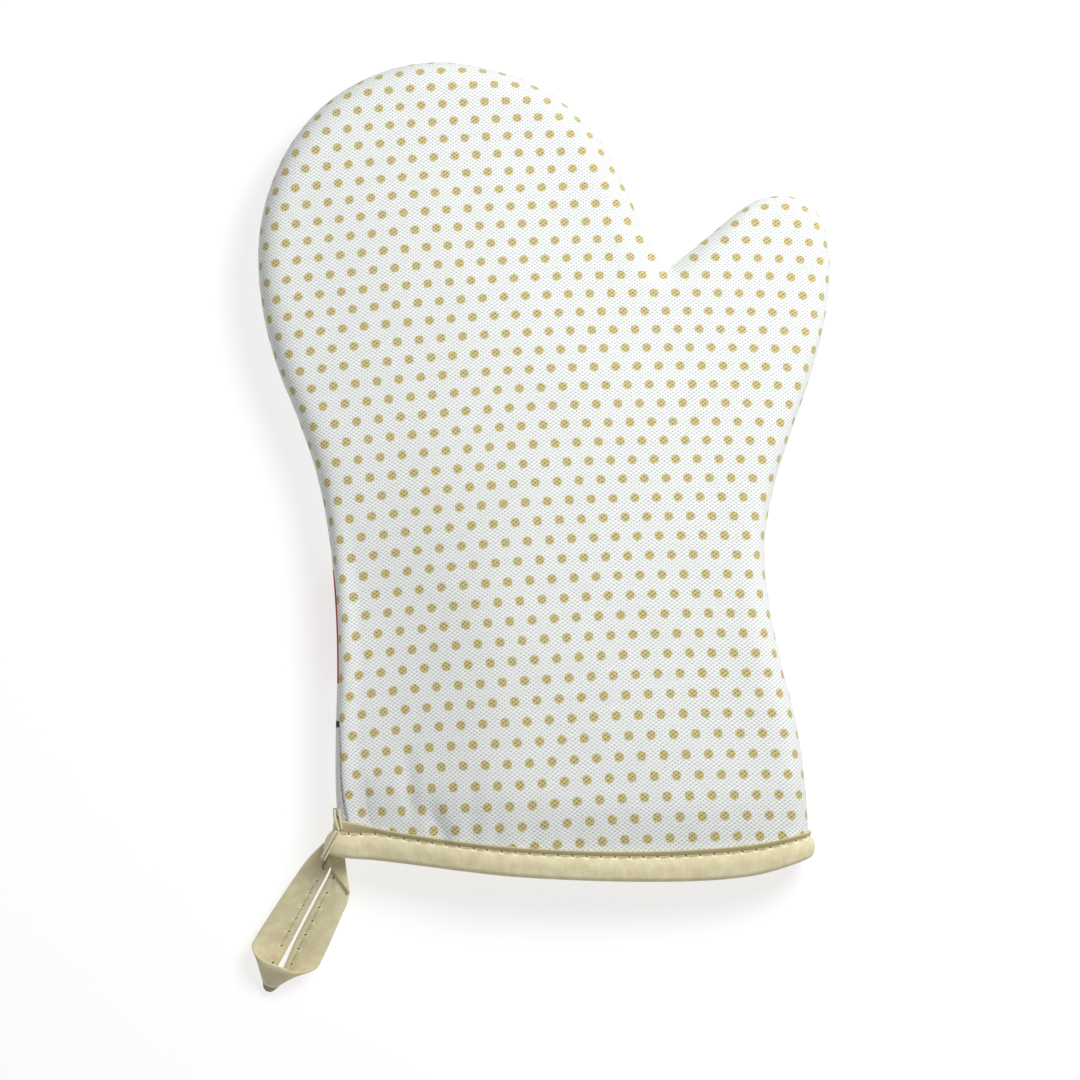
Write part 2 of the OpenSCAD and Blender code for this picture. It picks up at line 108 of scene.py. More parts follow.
def spline(points, steps):
    """Catmull-Rom curve through the points, its end tangents reflected."""
    p = np.asarray(points, float)
    q = np.vstack([2 * p[0] - p[1], p, 2 * p[-1] - p[-2]])
    t = (np.arange(steps) / steps)[:, None]
    spans = []
    for a, b, c, d in zip(q, q[1:], q[2:], q[3:]):
        cubic = (3 * b - a - 3 * c + d) * t**3 + (2 * a - 5 * b + 4 * c - d) * t**2 + (c - a) * t
        spans.append(0.5 * cubic + b)
    return np.vstack(spans + [p[-1:]])


def lengths(curve):
    return np.concatenate([[0], np.cumsum(np.linalg.norm(np.diff(curve, axis=0), axis=1))])


def resample(curve, step):
    """The curve's points at even distances of about step."""
    s = lengths(curve)
    count = max(2, int(round(s[-1] / step)) + 1)
    at = np.linspace(0, s[-1], count)
    return np.column_stack([np.interp(at, s, curve[:, k]) for k in range(curve.shape[1])])


def node_box(name):
    low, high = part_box(name)
    return np.array(low) / MM, np.array(high) / MM


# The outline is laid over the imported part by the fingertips' own box
tip_low, tip_high = node_box("palm_shell_fingers")
raw_fingers = spline(FINGER_SIDE, SIDE_STEPS)
SHIFT = np.array([tip_low[0] - raw_fingers[:, 0].min(), tip_high[1] - raw_fingers[:, 1].max()])
MID = node_box("side_seam_hand")[0][2] / 2 + node_box("side_seam_hand")[1][2] / 2
HEIGHT = MID
CROWN = node_box("palm_shell_hand")[1][2] - 2 * MID

finger_line = raw_fingers + SHIFT
thumb_line = spline(THUMB_SIDE, SIDE_STEPS) + SHIFT
low_edge = spline(BINDING_LOW, MOUTH_STEPS) + SHIFT
high_edge = spline(BINDING_HIGH, MOUTH_STEPS) + SHIFT


def mouth_y(x):
    """Where the cloth layers end at the mouth, inside the binding."""
    return np.interp(x, low_edge[:, 0], low_edge[:, 1]) + TAPE_REACH


def tape_width(x):
    """Height of the binding's upper edge above the layers' edge."""
    return np.interp(x, high_edge[:, 0], high_edge[:, 1]) - mouth_y(x)


def cut_at_mouth(line):
    """A side line, first point at the mouth, cut where it crosses the layers' edge."""
    above = line[:, 1] - mouth_y(line[:, 0])
    k = int(np.argmax(above > 0))
    if k == 0:
        return line
    t = above[k] / (above[k] - above[k - 1])
    start = line[k] + t * (line[k - 1] - line[k])
    return np.vstack([start, line[k:]])


def bezier(a, b, c, count):
    t = np.linspace(0, 1, count)[:, None]
    return (1 - t) ** 2 * a + 2 * t * (1 - t) * b + t * t * c


def shorten(line, amount):
    """The line without its last stretch of that length."""
    s = lengths(line)
    keep = s < s[-1] - amount
    end = [np.interp(s[-1] - amount, s, line[:, k]) for k in range(2)]
    return np.vstack([line[keep], end])


class Seam:
    """The side seam in plan from the mouth's left corner to its right one, with what varies along it."""

    def __init__(self, step):
        left = resample(shorten(cut_at_mouth(finger_line), CROTCH_ROUND), step)
        right = resample(shorten(cut_at_mouth(thumb_line[::-1]), CROTCH_ROUND), step)[::-1]
        corner = bezier(left[-1], finger_line[-1], right[0], CROTCH_POINTS)
        self.points = np.vstack([left, corner[1:-1], right])
        self.s = lengths(self.points)
        tangent = np.gradient(self.points, self.s, axis=0)
        tangent /= np.linalg.norm(tangent, axis=1)[:, None]
        self.inward = np.column_stack([tangent[:, 1], -tangent[:, 0]])
        self.crotch = len(left) - 1 + CROTCH_POINTS // 2
        wrist = np.array(WRIST) + SHIFT
        self.wrist = int(np.argmin(np.linalg.norm(self.points - wrist, axis=1)))
        near_crotch = 1 - smooth((np.abs(self.s - self.s[self.crotch]) - 6) / 30)
        self.power = EDGE_POWER + (CROTCH_POWER - EDGE_POWER) * near_crotch
        self.near_crotch = near_crotch
        # Height of the seam on the wall: it climbs towards the palm on the lower left
        y = self.points[:, 1]
        on_left = self.points[:, 0] < 0
        climb = sum(rise * smooth((start - y) / run) for rise, start, run in SEAM_CLIMBS)
        climb = climb * smooth((y - mouth_y(self.points[:, 0]) - 2) / 8)
        self.climb = np.where(on_left, climb, 0)


BATCH = 2000  # points measured at a time


def distance_to(points, line):
    """Distance of each point from a polyline."""
    a, ab = line[:-1], np.diff(line, axis=0)
    best = np.full(len(points), 1e9)
    for start in range(0, len(points), BATCH):
        p = points[start : start + BATCH, None, :]
        t = np.clip(((p - a) * ab).sum(2) / (ab * ab).sum(1), 0, 1)
        gap = np.linalg.norm(p - a - t[..., None] * ab, axis=2)
        best[start : start + BATCH] = gap.min(1)
    return best


def inside(points, loop):
    """Whether each point is in the closed polygon."""
    x, y = points[:, 0], points[:, 1]
    found = np.zeros(len(points), bool)
    for (ax, ay), (bx, by) in zip(loop, np.roll(loop, -1, axis=0)):
        crosses = (ay > y) != (by > y)
        with np.errstate(divide="ignore", invalid="ignore"):
            found ^= crosses & (x < (bx - ax) * (y - ay) / (by - ay) + ax)
    return found


HAND, FINGERS, THUMB, LOOP = "hand", "fingers", "thumb", "loop"

# ---- the surface of a side

# Folds that the binding's stitches pull in the palm: upper end, lower end, depth and width
FOLDS = [
    ((-42.6, -64), (-41.5, -82), 1.3, 1.9), ((-37.2, -84), (-31.8, -95.4), 1.4, 1.6),
    ((-34.8, -78), (-34.2, -90), 0.45, 1.6), ((-20.5, -70), (-21.6, -97), 0.7, 2.2),
    ((-13.4, -80), (-14.2, -98), 0.55, 2.0), ((-1.8, -78), (-2.6, -99), 0.5, 1.9),
    ((12, -84), (11, -100), 0.3, 2.2), ((27, -86), (26, -101), 0.28, 2.2),
    ((45, -84), (44, -101), 0.25, 2.4), ((63, -84), (63, -99), 0.3, 2.4),
    ((-56, -76), (-54, -91), 0.5, 2.2),
]
# The palm's padding is thinner towards the lower left: where that starts, and by how much in the end
LOW_LEFT_X, LOW_LEFT_Y, LOW_LEFT_DROP = -8.0, 30.0, 3.6
# Unevenness of the padding: width and length of a swell, its place in the noise, and its height
SWELLS = [(34, 40, 0, 0.55), (13, 15, 5, 0.14)]


def dip(p):
    """How far the binding draws a side down near the mouth."""
    return MOUTH_DIP * (1 - smooth((p[:, 1] - mouth_y(p[:, 0])) / MOUTH_RUN))


def crown(d, side):
    """How much higher the palm's middle stands, by distance from the seam."""
    return CROWN * smooth((d - EDGE_RUN) / CROWN_RUN) if side > 0 else 0 * d


def relief(p, side, fold, widen=0.0):
    """Soft unevenness of the padded cloth, and the pull of the binding's stitches on it.

    A layer under the shell takes the folds wider and deeper, so that it stays below the shell.
    """
    seed = 3.7 if side > 0 else 11.3
    height = np.zeros(len(p))
    for wide, long, seed_step, swell in SWELLS:
        points = [Vector((x / wide, y / long, seed + seed_step)) for x, y in p]
        height = height + swell * np.array([noise.noise(point) for point in points])
    if side > 0:
        low_left = smooth((LOW_LEFT_X - p[:, 0]) / 42) * smooth((LOW_LEFT_Y - p[:, 1]) / 60)
        height = height - LOW_LEFT_DROP * low_left
        for start, end, depth, width in FOLDS:
            a, ab = np.array(start), np.array(end) - np.array(start)
            t = ((p - a) @ ab) / (ab @ ab)
            gap = np.linalg.norm(p - a - np.clip(t, 0, 1.4)[:, None] * ab, axis=1)
            height = height - fold * depth * smooth(t) * np.exp(-((gap / (width + widen)) ** 2))
    return height


WALL_SAMPLES = 140


def wall_table(height, run, power):
    """Distance from the outline, height and arc length up one rolled edge."""
    angle = np.linspace(0, math.pi / 2, WALL_SAMPLES)
    d = run * (1 - np.clip(np.cos(angle), 0, 1) ** (2 / power))
    h = height * np.sin(angle) ** (2 / power)
    return d, h, lengths(np.column_stack([d, h]))


class Wall:
    """The mitt's edge in section at one point of the seam, by arc length up from the mid plane."""

    def __init__(self, height, run, power):
        self.d, self.h, self.s = wall_table(height, run, power)
        self.top = self.s[-1]

    def at(self, a):
        """Distance in from the outline, height above the mid plane, and the outward direction of both."""
        sign, far, step = np.sign(a) + (a == 0), np.abs(a), 0.05
        d, h = np.interp(far, self.s, self.d), np.interp(far, self.s, self.h) * sign
        near = far < step
        rises = [
            np.interp(far + step, self.s, line) - np.interp(np.abs(far - step), self.s, line)
            for line in (self.d, self.h)
        ]
        d2, h2 = np.where(near, 0, rises[0]), np.where(near, 2 * step, rises[1])
        size = np.hypot(d2, h2)
        return d, h, -h2 / size, sign * d2 / size


ROW_SHARE = 0.87  # from one row of a field's points to the next, in spacings
CLEAR_SHARE = 0.62  # how near its border a field's points come, in spacings


class Side:
    """The plan of one side of the mitt: a strip along the seam and a field of triangles inside it."""

    def __init__(self, side, step, rows, spacing, ring_depth):
        self.side, self.rows, self.ring_depth = side, rows, ring_depth
        seam = self.seam = Seam(step)
        self.n = len(seam.points)
        self.share = np.linspace(0, 1, rows + 1)
        self.ring = self.place(np.full((self.n, 1), ring_depth))[:, 0]
        self.make_field(spacing)
        self.first_field = self.n * rows
        self.field_d = distance_to(self.field, seam.points)
        self.make_faces()

    def place(self, depth):
        """Plan points at those depths in from the seam; near the mouth they lie along the layers' edge."""
        seam = self.seam
        plan = seam.points[:, None, :] + depth[..., None] * seam.inward[:, None, :]
        for end in (0, -1):
            corner, inward = seam.points[end], seam.inward[end]
            x = corner[0] + depth * inward[0]
            move_y = mouth_y(x) - (corner[1] + depth * inward[1])
            weight = 1 - smooth(np.abs(seam.s - seam.s[end]) / MOUTH_EASE)
            plan[..., 1] += weight[:, None] * move_y
        return plan

    def make_field(self, spacing):
        """Triangles inside the strip's inner border, in one part for the hand and one for the thumb."""
        seam, ring = self.seam, self.ring
        cut = resample(np.vstack([ring[seam.crotch], ring[seam.wrist]]), spacing)[1:-1]
        xs = resample(np.array([[ring[-1][0], 0], [ring[0][0], 0]]), spacing)[1:-1, 0]
        border = np.vstack([ring, cut, np.column_stack([xs, mouth_y(xs)])])
        cut_ids = list(range(self.n, self.n + len(cut)))
        mouth_ids = list(range(self.n + len(cut), len(border)))
        loops = {
            HAND: list(range(seam.crotch + 1)) + cut_ids + list(range(seam.wrist, self.n)) + mouth_ids,
            THUMB: list(range(seam.crotch, seam.wrist + 1)) + cut_ids[::-1],
        }
        low, high = border.min(0), border.max(0)
        grid = []
        for k, y in enumerate(np.arange(low[1], high[1], spacing * ROW_SHARE)):
            x = np.arange(low[0] + (k % 2) * spacing / 2, high[0], spacing)
            grid.append(np.column_stack([x, np.full(len(x), y)]))
        grid = np.vstack(grid)
        fields, count = [border], len(border)
        self.triangles = {}
        for part, ids in loops.items():
            loop = border[ids]
            points = grid[inside(grid, loop)]
            points = points[distance_to(points, np.vstack([loop, loop[:1]])) > spacing * CLEAR_SHARE]
            verts = np.vstack([loop, points])
            edges = [(i, (i + 1) % len(loop)) for i in range(len(loop))]
            found = delaunay_2d_cdt([Vector(v) for v in verts], edges, [], 1, 1e-5, True)
            places = np.array([origin[0] for origin in found[3]])[np.array(found[2])]
            places = places[inside(verts[places].mean(1), loop)]
            self.triangles[part] = np.concatenate([ids, count + np.arange(len(points))])[places]
            fields.append(points)
            count += len(points)
        self.field = np.vstack(fields)

    def index(self, i, j):
        return self.first_field + i if j == self.rows else i * self.rows + j

    def make_faces(self):
        """Faces of both parts, turned away from the mid plane."""
        self.faces = {HAND: [], THUMB: []}
        seam = self.seam
        for i in range(self.n - 1):
            part = THUMB if seam.crotch <= i < seam.wrist else HAND
            for j in range(self.rows):
                corners = ((i, j), (i + 1, j), (i + 1, j + 1), (i, j + 1))
                quad = [self.index(*corner) for corner in corners]
                self.faces[part].append(quad if self.side < 0 else quad[::-1])
        for part, triangles in self.triangles.items():
            a, b, c = (self.field[triangles[:, k]] for k in range(3))
            turn = (b[:, 0] - a[:, 0]) * (c[:, 1] - a[:, 1]) - (b[:, 1] - a[:, 1]) * (c[:, 0] - a[:, 0])
            swap = (turn > 0) != (self.side > 0)
            ordered = np.where(swap[:, None], triangles[:, ::-1], triangles) + self.first_field
            self.faces[part] += ordered.tolist()

    def surface(self, profile, top, rough, fold=1.0, widen=0.0):
        """Points of a surface: profile gives its edge, and top(plan) how high its middle stands."""
        shape = (self.n, self.rows + 1)
        depth, height, spread = np.zeros(shape), np.zeros(shape), np.zeros(shape)
        for i in range(self.n):
            depth[i], height[i], spread[i] = profile(self, i)
        strip = self.place(depth)
        flat = strip - spread[..., None] * self.seam.inward[:, None, :]
        plan = np.vstack([strip[:, :-1].reshape(-1, 2), self.field])
        d = np.concatenate([depth[:, :-1].ravel(), self.field_d])
        z = np.concatenate([height[:, :-1].ravel(), self.side * top(self.field)])
        z = MID + z + crown(d, self.side)
        if rough:
            z += relief(plan, self.side, fold, widen) * smooth(d / RELIEF_RUN)
        cloth = np.vstack([flat[:, :-1].reshape(-1, 2), self.field])
        return np.column_stack([plan, z]), cloth


GROOVE, GROOVE_WIDTH = 0.75, 1.0  # how far the seam draws the shell in, and over what width
SEAM_GAP = 0.06  # from the seam to each shell's edge
INNER_POWER = 2.3  # how square the edges of the layers inside are


def shell_top(p):
    """Height of the shell's outside from the mid plane, without crown and unevenness."""
    return HEIGHT - dip(p)


def shell_profile(mesh, i):
    """The shell's outside up the rolled edge, and how much cloth the roll takes up."""
    seam = mesh.seam
    wall = Wall(shell_top(seam.points[i : i + 1])[0], mesh.ring_depth, seam.power[i])
    climb = seam.climb[i] + SEAM_GAP * mesh.side
    a = climb + mesh.share * (mesh.side * wall.top - climb)
    d, h, out_d, out_h = wall.at(a)
    sunk = GROOVE * np.exp(-(((a - climb) / GROOVE_WIDTH) ** 2))
    taken = np.clip(wall.top - np.abs(a) - (mesh.ring_depth - d), 0, None) * (1 - seam.near_crotch[i])
    return d - sunk * out_d, h - sunk * out_h, taken


def inner_profile(inset, edge, top):
    """Edge of a surface inside the shell, which starts inset from the outline at a small height."""

    def profile(mesh, i):
        full = top(mesh.seam.points[i : i + 1])[0]
        wall = Wall(full - edge, mesh.ring_depth - inset, INNER_POWER)
        d, h, _, _ = wall.at(mesh.share * wall.top)
        return inset + d, mesh.side * (edge + h), 0 * d

    return profile


def link(name, data):
    """A new object in the scene."""
    obj = bpy.data.objects.new(name, data)
    bpy.context.scene.collection.objects.link(obj)
    return obj


def vertex_normals(points, faces):
    """Normals weighted by the size of the faces round each point."""
    normals = np.zeros_like(points)
    for size in (3, 4):
        group = np.array([f for f in faces if len(f) == size])
        if not len(group):
            continue
        a, b, c, d = (points[group[:, k]] for k in (0, 1, 2, size - 1))
        face = np.cross(b - a, c - a) if size == 3 else np.cross(c - a, d - b)
        for k in range(size):
            np.add.at(normals, group[:, k], face)
    size = np.linalg.norm(normals, axis=1)
    return normals / np.maximum(size, 1e-9)[:, None]


def make_mesh(name, points, faces, uv, loop_normals=None, sharp=()):
    """A mesh object from points in millimetres; uv holds one pair for each point."""
    mesh = bpy.data.meshes.new(name)
    mesh.from_pydata([tuple(p * MM) for p in points], [], [list(map(int, f)) for f in faces])
    mesh.update()
    corners = np.zeros(len(mesh.loops), int)
    mesh.loops.foreach_get("vertex_index", corners)
    uv_layer = mesh.uv_layers.new(name="Cloth")
    uv_layer.data.foreach_set("uv", np.asarray(uv, np.float32)[corners].ravel())
    mesh.polygons.foreach_set("use_smooth", [True] * len(mesh.polygons))
    if len(sharp):
        keys = {frozenset(pair) for pair in sharp}
        mesh.edges.foreach_set("use_edge_sharp", [frozenset(e.vertices) in keys for e in mesh.edges])
    if loop_normals is not None:
        mesh.normals_split_custom_set([tuple(n) for n in loop_normals])
    return link(name, mesh)


def rim_edges(faces):
    """Edges that only one face uses, in that face's direction."""
    seen = dict.fromkeys(pair for f in faces for pair in zip(f, [*f[1:], f[0]]))
    return [(a, b) for a, b in seen if (b, a) not in seen]


def closed_cloth(name, outer, inner, normals, faces, uv):
    """A closed sheet between two surfaces that share their faces; only the faces' own points are used."""
    used = sorted({v for f in faces for v in f})
    new = {v: i for i, v in enumerate(used)}
    n = len(used)
    top = [[new[v] for v in f] for f in faces]
    under = [[v + n for v in f[::-1]] for f in top]
    border = rim_edges(top)
    rim = [[b, a, a + n, b + n] for a, b in border]
    sharp = border + [(a + n, b + n) for a, b in border]
    points = np.vstack([outer[used], inner[used]])
    uvs = np.vstack([uv[used], uv[used]])
    corner_normals = [normals[used[v]] for f in top for v in f]
    corner_normals += [-normals[used[v - n]] for f in under for v in f]
    for f in rim:
        a, b, c = points[f[0]], points[f[1]], points[f[2]]
        face = np.cross(b - a, c - a)
        size = np.linalg.norm(face)
        corner_normals += [face / size if size > 1e-9 else np.array([0.0, 0, 1])] * 4
    return make_mesh(name, points, top + under + rim, uvs, corner_normals, sharp)


DOT_PITCH = (6.97, 6.15)  # from one dot to the next along a row, and from one row to the next
DOT_RADIUS = 1.54
# Where the seams draw the print along: middle and reach of the place, and the way right and up
PRINT_PULLS = [
    ((-66, -66), 34, (1.5, 1.2)), ((-62, -96), 18, (3.2, 2.5)),
    ((-36, -84), 26, (0.2, 1.0)), ((-6, -86), 18, (0, -0.5)),
]


# The dots' columns and rows as quadratics of the place in decimetres: factors of 1, x, y, xx, xy and yy.
# A scratch program made these twelve numbers: a least-squares fit to the dots found in the photo.
PRINT_COLUMNS = (0.11, 14.352, 0.814, 0.145, 0.481, -0.042)
PRINT_ROWS = (-0.385, -0.969, 16.268, 0.902, 0.322, 0.723)


def quadratic(factors, x, y):
    c0, cx, cy, cxx, cxy, cyy = factors
    return c0 + cx * x + cy * y + cxx * x * x + cxy * x * y + cyy * y * y


def print_coordinates(p):
    """Print on the palm: dots stand at whole t, and at whole s on every other row."""
    x, y = p[:, 0] / 100, p[:, 1] / 100
    s, t = quadratic(PRINT_COLUMNS, x, y), quadratic(PRINT_ROWS, x, y)
    for (cx, cy), reach, (right, up) in PRINT_PULLS:
        near = np.exp(-((p[:, 0] - cx) ** 2 + (p[:, 1] - cy) ** 2) / reach**2)
        s, t = s - right / DOT_PITCH[0] * near, t - up / DOT_PITCH[1] * near
    return np.column_stack([s, t])


def plain_coordinates(p):
    """UV in decimetres on the plan."""
    return p / 100


def across(joint, towards):
    """The direction in plan across a bend line, on the side of a point beyond it."""
    axis = Vector(joint["axis"])
    way = Vector((-axis.y, axis.x, 0)).normalized()
    return way if way.dot(Vector(towards)) > 0 else -way


def bend(obj):
    """The piece's placement baked into its mesh."""
    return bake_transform(obj)


def bend_fingers(obj):
    return bend(obj)


def bend_thumb(obj):
    return bend(obj)


SUFFIX = {HAND: "", THUMB: "_thumb"}


def layer(name, mesh, outer, inner, uv):
    """A layer of one side between two surfaces: a piece for hand and fingers, and one for the thumb."""
    normals = vertex_normals(outer, mesh.faces[HAND] + mesh.faces[THUMB])
    if inner is None:
        inner = outer - SHELL * normals
    made = {}
    for part in (HAND, THUMB):
        obj = closed_cloth(name + SUFFIX[part], outer, inner, normals, mesh.faces[part], uv)
        made[part] = obj
    return made


# ---- materials


class Nodes:
    """A short way to write a node material."""

    def __init__(self, name):
        self.material = bpy.data.materials.new(name)
        self.material.use_nodes = True
        self.tree = self.material.node_tree
        self.tree.nodes.clear()
        self.shader = self.add("ShaderNodeBsdfPrincipled")
        output = self.add("ShaderNodeOutputMaterial")
        self.tree.links.new(self.shader.outputs["BSDF"], output.inputs["Surface"])

    def add(self, kind, **settings):
        node = self.tree.nodes.new(kind)
        for key, value in settings.items():
            setattr(node, key, value)
        return node

    def put(self, socket, value):
        if isinstance(value, bpy.types.NodeSocket):
            self.tree.links.new(value, socket)
        else:
            socket.default_value = value

    def calc(self, operation, *values):
        node = self.add("ShaderNodeMath", operation=operation)
        for socket, value in zip(node.inputs, values):
            self.put(socket, value)
        return node.outputs[0]

    mul, mul_add = partialmethod(calc, "MULTIPLY"), partialmethod(calc, "MULTIPLY_ADD")
    plus, sub = partialmethod(calc, "ADD"), partialmethod(calc, "SUBTRACT")

    def step(self, value, low, high):
        """0 below low and 1 above high, smooth between."""
        node = self.add("ShaderNodeMapRange", interpolation_type="SMOOTHSTEP")
        for key, v in (("Value", value), ("From Min", low), ("From Max", high)):
            self.put(node.inputs[key], v)
        return node.outputs["Result"]

    def band(self, value, low, low_full, high_full, high):
        """1 from low_full to high_full, and 0 below low and above high."""
        return self.sub(self.step(value, low, low_full), self.step(value, high_full, high))

    def mix(self, share, a, b):
        node = self.add("ShaderNodeMix", data_type="RGBA")
        self.put(node.inputs["Factor"], share)
        for key, colour in ((6, a), (7, b)):
            if isinstance(colour, bpy.types.NodeSocket):
                self.put(node.inputs[key], colour)
            else:
                node.inputs[key].default_value = (*colour, 1)
        return node.outputs[2]

    def tint(self, base, colour, mask, most):
        """The base colour turned towards another where the mask is high, by most at the most."""
        return self.mix(self.mul(mask, most), base, colour)

    def weave_colour(self, u, v, height, opening, dark, light, pinhole_shade, gap, pale, slubs):
        """Colour of a weave: lit yarn tops, painted shade low on the yarns and in the pinholes, and paler
        slubs.
        """
        slub = self.noise(u, v, 0.1, 3.0, 5.0)
        colour = self.mix(self.step(height, 0.1, 0.95), dark, light)
        colour = self.tint(colour, gap, opening, pinhole_shade)
        return self.tint(colour, pale, self.step(slub, 0.35, 0.8), slubs)

    def uv(self):
        node = self.add("ShaderNodeUVMap", uv_map="Cloth")
        split = self.add("ShaderNodeSeparateXYZ")
        self.put(split.inputs[0], node.outputs[0])
        return split.outputs[0], split.outputs[1]

    def noise(self, u, v, scale, detail=2.0, stretch=1.0):
        join = self.add("ShaderNodeCombineXYZ")
        self.put(join.inputs[0], self.mul(u, scale))
        self.put(join.inputs[1], self.mul(v, scale * stretch))
        node = self.add("ShaderNodeTexNoise", noise_dimensions="2D")
        self.put(node.inputs["Vector"], join.outputs[0])
        node.inputs["Scale"].default_value = 1.0
        node.inputs["Detail"].default_value = detail
        return node.outputs[0]

    def weave(self, u, v):
        """Height of a plain weave with one yarn for each unit, and its pinholes, at every other corner."""
        wave_u = self.calc("COSINE", self.mul(u, math.pi))
        wave_v = self.calc("COSINE", self.mul(v, math.pi))
        both = self.mul(wave_u, wave_v)
        ribs = self.calc("ABSOLUTE", self.calc("SINE", self.mul(v, math.pi)))
        slant = self.calc("COSINE", self.mul(self.sub(u, v), math.pi))
        height = self.mul_add(both, -0.34, self.mul_add(ribs, 0.14, 0.44))
        height = self.mul_add(slant, -0.12, height)
        pinhole = self.mul_add(slant, 0.4, self.mul(both, 0.6))
        corner = self.mul(self.step(self.calc("ABSOLUTE", both), 0.72, 1.0), 0.4)
        return height, self.calc("MAXIMUM", corner, self.step(pinhole, 0.42, 0.98))

    def stitch_marks(self, u, v, pitch, row, lean):
        """Masks of a slanted hole at every stitch along a row, for painted shade, and of the tape puffed up
        beside it, for a painted highlight.
        """
        turns = self.mul(u, 100 / pitch)
        du = self.mul(self.sub(turns, self.calc("ROUND", turns)), pitch)
        dv = self.mul_add(v, 100.0, -row)
        c, s = math.cos(math.radians(lean)), math.sin(math.radians(lean))
        long = self.plus(self.mul(du, c), self.mul(dv, s))
        short = self.sub(self.mul(dv, c), self.mul(du, s))

        def oval(a, half_a, b, half_b):
            shares = [self.calc("DIVIDE", x, half) for x, half in ((a, half_a), (b, half_b))]
            return self.plus(*[self.calc("POWER", share, 2.0) for share in shares])

        far = oval(long, 0.5, short, 0.23)
        puff = oval(du, 0.95, self.sub(dv, 0.8), 0.5)
        hole = self.sub(1.0, self.step(far, 0.5, 1.3))
        return hole, self.sub(1.0, self.step(puff, 0.2, 1.2))

    def finish(self, colour, roughness, height=None, depth=0.0001, strength=1.0, sheen=0.0):
        """The finished material; the bump's depth is in metres."""
        is_socket = isinstance(colour, bpy.types.NodeSocket)
        values = {
            "Base Color": colour if is_socket else (*colour, 1), "Roughness": roughness,
            "Specular IOR Level": 0.25, "Sheen Weight": sheen, "Sheen Roughness": 0.5,
        }
        if height is not None:
            bump = self.add("ShaderNodeBump")
            for key, value in (("Strength", strength), ("Distance", depth), ("Height", height)):
                self.put(bump.inputs[key], value)
            values["Normal"] = bump.outputs[0]
        for key, value in values.items():
            self.put(self.shader.inputs[key], value)
        return self.material


YARN_ACROSS, YARN_ALONG = 0.85, 0.61  # width of one yarn of the shell


def printed_cotton():
    """White cotton printed with straw-coloured dots; UV counts the dots' columns and rows."""
    g = Nodes("printed_cotton")
    s, t = g.uv()
    row = g.calc("ROUND", t)
    odd = g.calc("FLOORED_MODULO", row, 2.0)
    along = g.mul_add(odd, -0.5, s)
    ds = g.mul(g.sub(along, g.calc("ROUND", along)), DOT_PITCH[0])
    dt = g.mul(g.sub(t, row), DOT_PITCH[1])
    far = g.calc("SQRT", g.plus(g.mul(ds, ds), g.mul(dt, dt)))
    u = g.mul(s, DOT_PITCH[0] / YARN_ACROSS)
    v = g.mul(t, DOT_PITCH[1] / YARN_ALONG)
    wander = g.noise(u, v, 0.25, 2.0)
    u = g.mul_add(g.sub(wander, 0.5), 0.55, u)
    height, opening = g.weave(u, v)
    uneven = g.noise(u, v, 0.7, 1.0)
    ragged = g.mul_add(height, -0.45, g.mul_add(uneven, 0.5, far))
    dot = g.sub(1.0, g.step(ragged, DOT_RADIUS - 0.26, DOT_RADIUS + 0.1))
    # Painted shade: the white and the ink both go darker low on the yarns and in the pinholes (gap).
    dark, light = (0.63, 0.66, 0.64), (0.84, 0.86, 0.84)
    gap, pale = (0.32, 0.35, 0.345), (0.89, 0.89, 0.87)
    ground = g.weave_colour(u, v, height, opening, dark, light, 0.8, gap, pale, 0.14)
    ink = g.mix(g.step(height, 0.15, 0.9), (0.39, 0.31, 0.10), (0.62, 0.52, 0.235))
    # painted shade in some of the pinholes inside the dots
    ink_pinhole_shade = g.mul(opening, g.step(uneven, 0.15, 0.5))
    ink = g.tint(ink, (0.12, 0.095, 0.025), ink_pinhole_shade, 0.92)
    colour = g.tint(ground, ink, dot, 0.96)
    return g.finish(colour, 0.85, height, 0.00022, 0.7, sheen=0.12)


# The back's bands across the hand: from and to, by height on the hand in decimetres
RED_BAND, DARK_BAND = (-0.49, -0.133), (-0.629, -0.608)
BAND_BLUR = 0.002


def banded_canvas():
    """White canvas with one broad red band and a thin dark stripe, both across the hand."""
    g = Nodes("banded_canvas")
    x, y = g.uv()
    u = g.mul(x, 100 / YARN_ALONG)
    v = g.mul(y, 100 / YARN_ALONG)
    height, opening = g.weave(u, v)
    wobble = g.mul_add(height, 0.004, y)
    bands = [
        g.band(wobble, low - BAND_BLUR, low + BAND_BLUR, high - BAND_BLUR, high + BAND_BLUR)
        for low, high in (RED_BAND, DARK_BAND)
    ]
    # Painted shade: the white and the red both go darker low on the yarns and in the pinholes (gap).
    dark, light = (0.66, 0.67, 0.65), (0.86, 0.86, 0.84)
    gap, pale = (0.40, 0.41, 0.40), (0.93, 0.93, 0.90)
    ground = g.weave_colour(u, v, height, opening, dark, light, 0.6, gap, pale, 0.15)
    red = g.mix(g.step(height, 0.1, 0.95), (0.26, 0.010, 0.010), (0.55, 0.03, 0.028))
    red = g.tint(red, (0.12, 0.006, 0.006), opening, 0.6)
    colour = g.mix(bands[0], ground, red)
    colour = g.mix(bands[1], colour, (0.02, 0.02, 0.022))
    return g.finish(colour, 0.85, height, 0.0002, 0.8, sheen=0.12)


TAPE_LIGHT, TAPE_DARK = (0.76, 0.69, 0.455), (0.65, 0.575, 0.355)
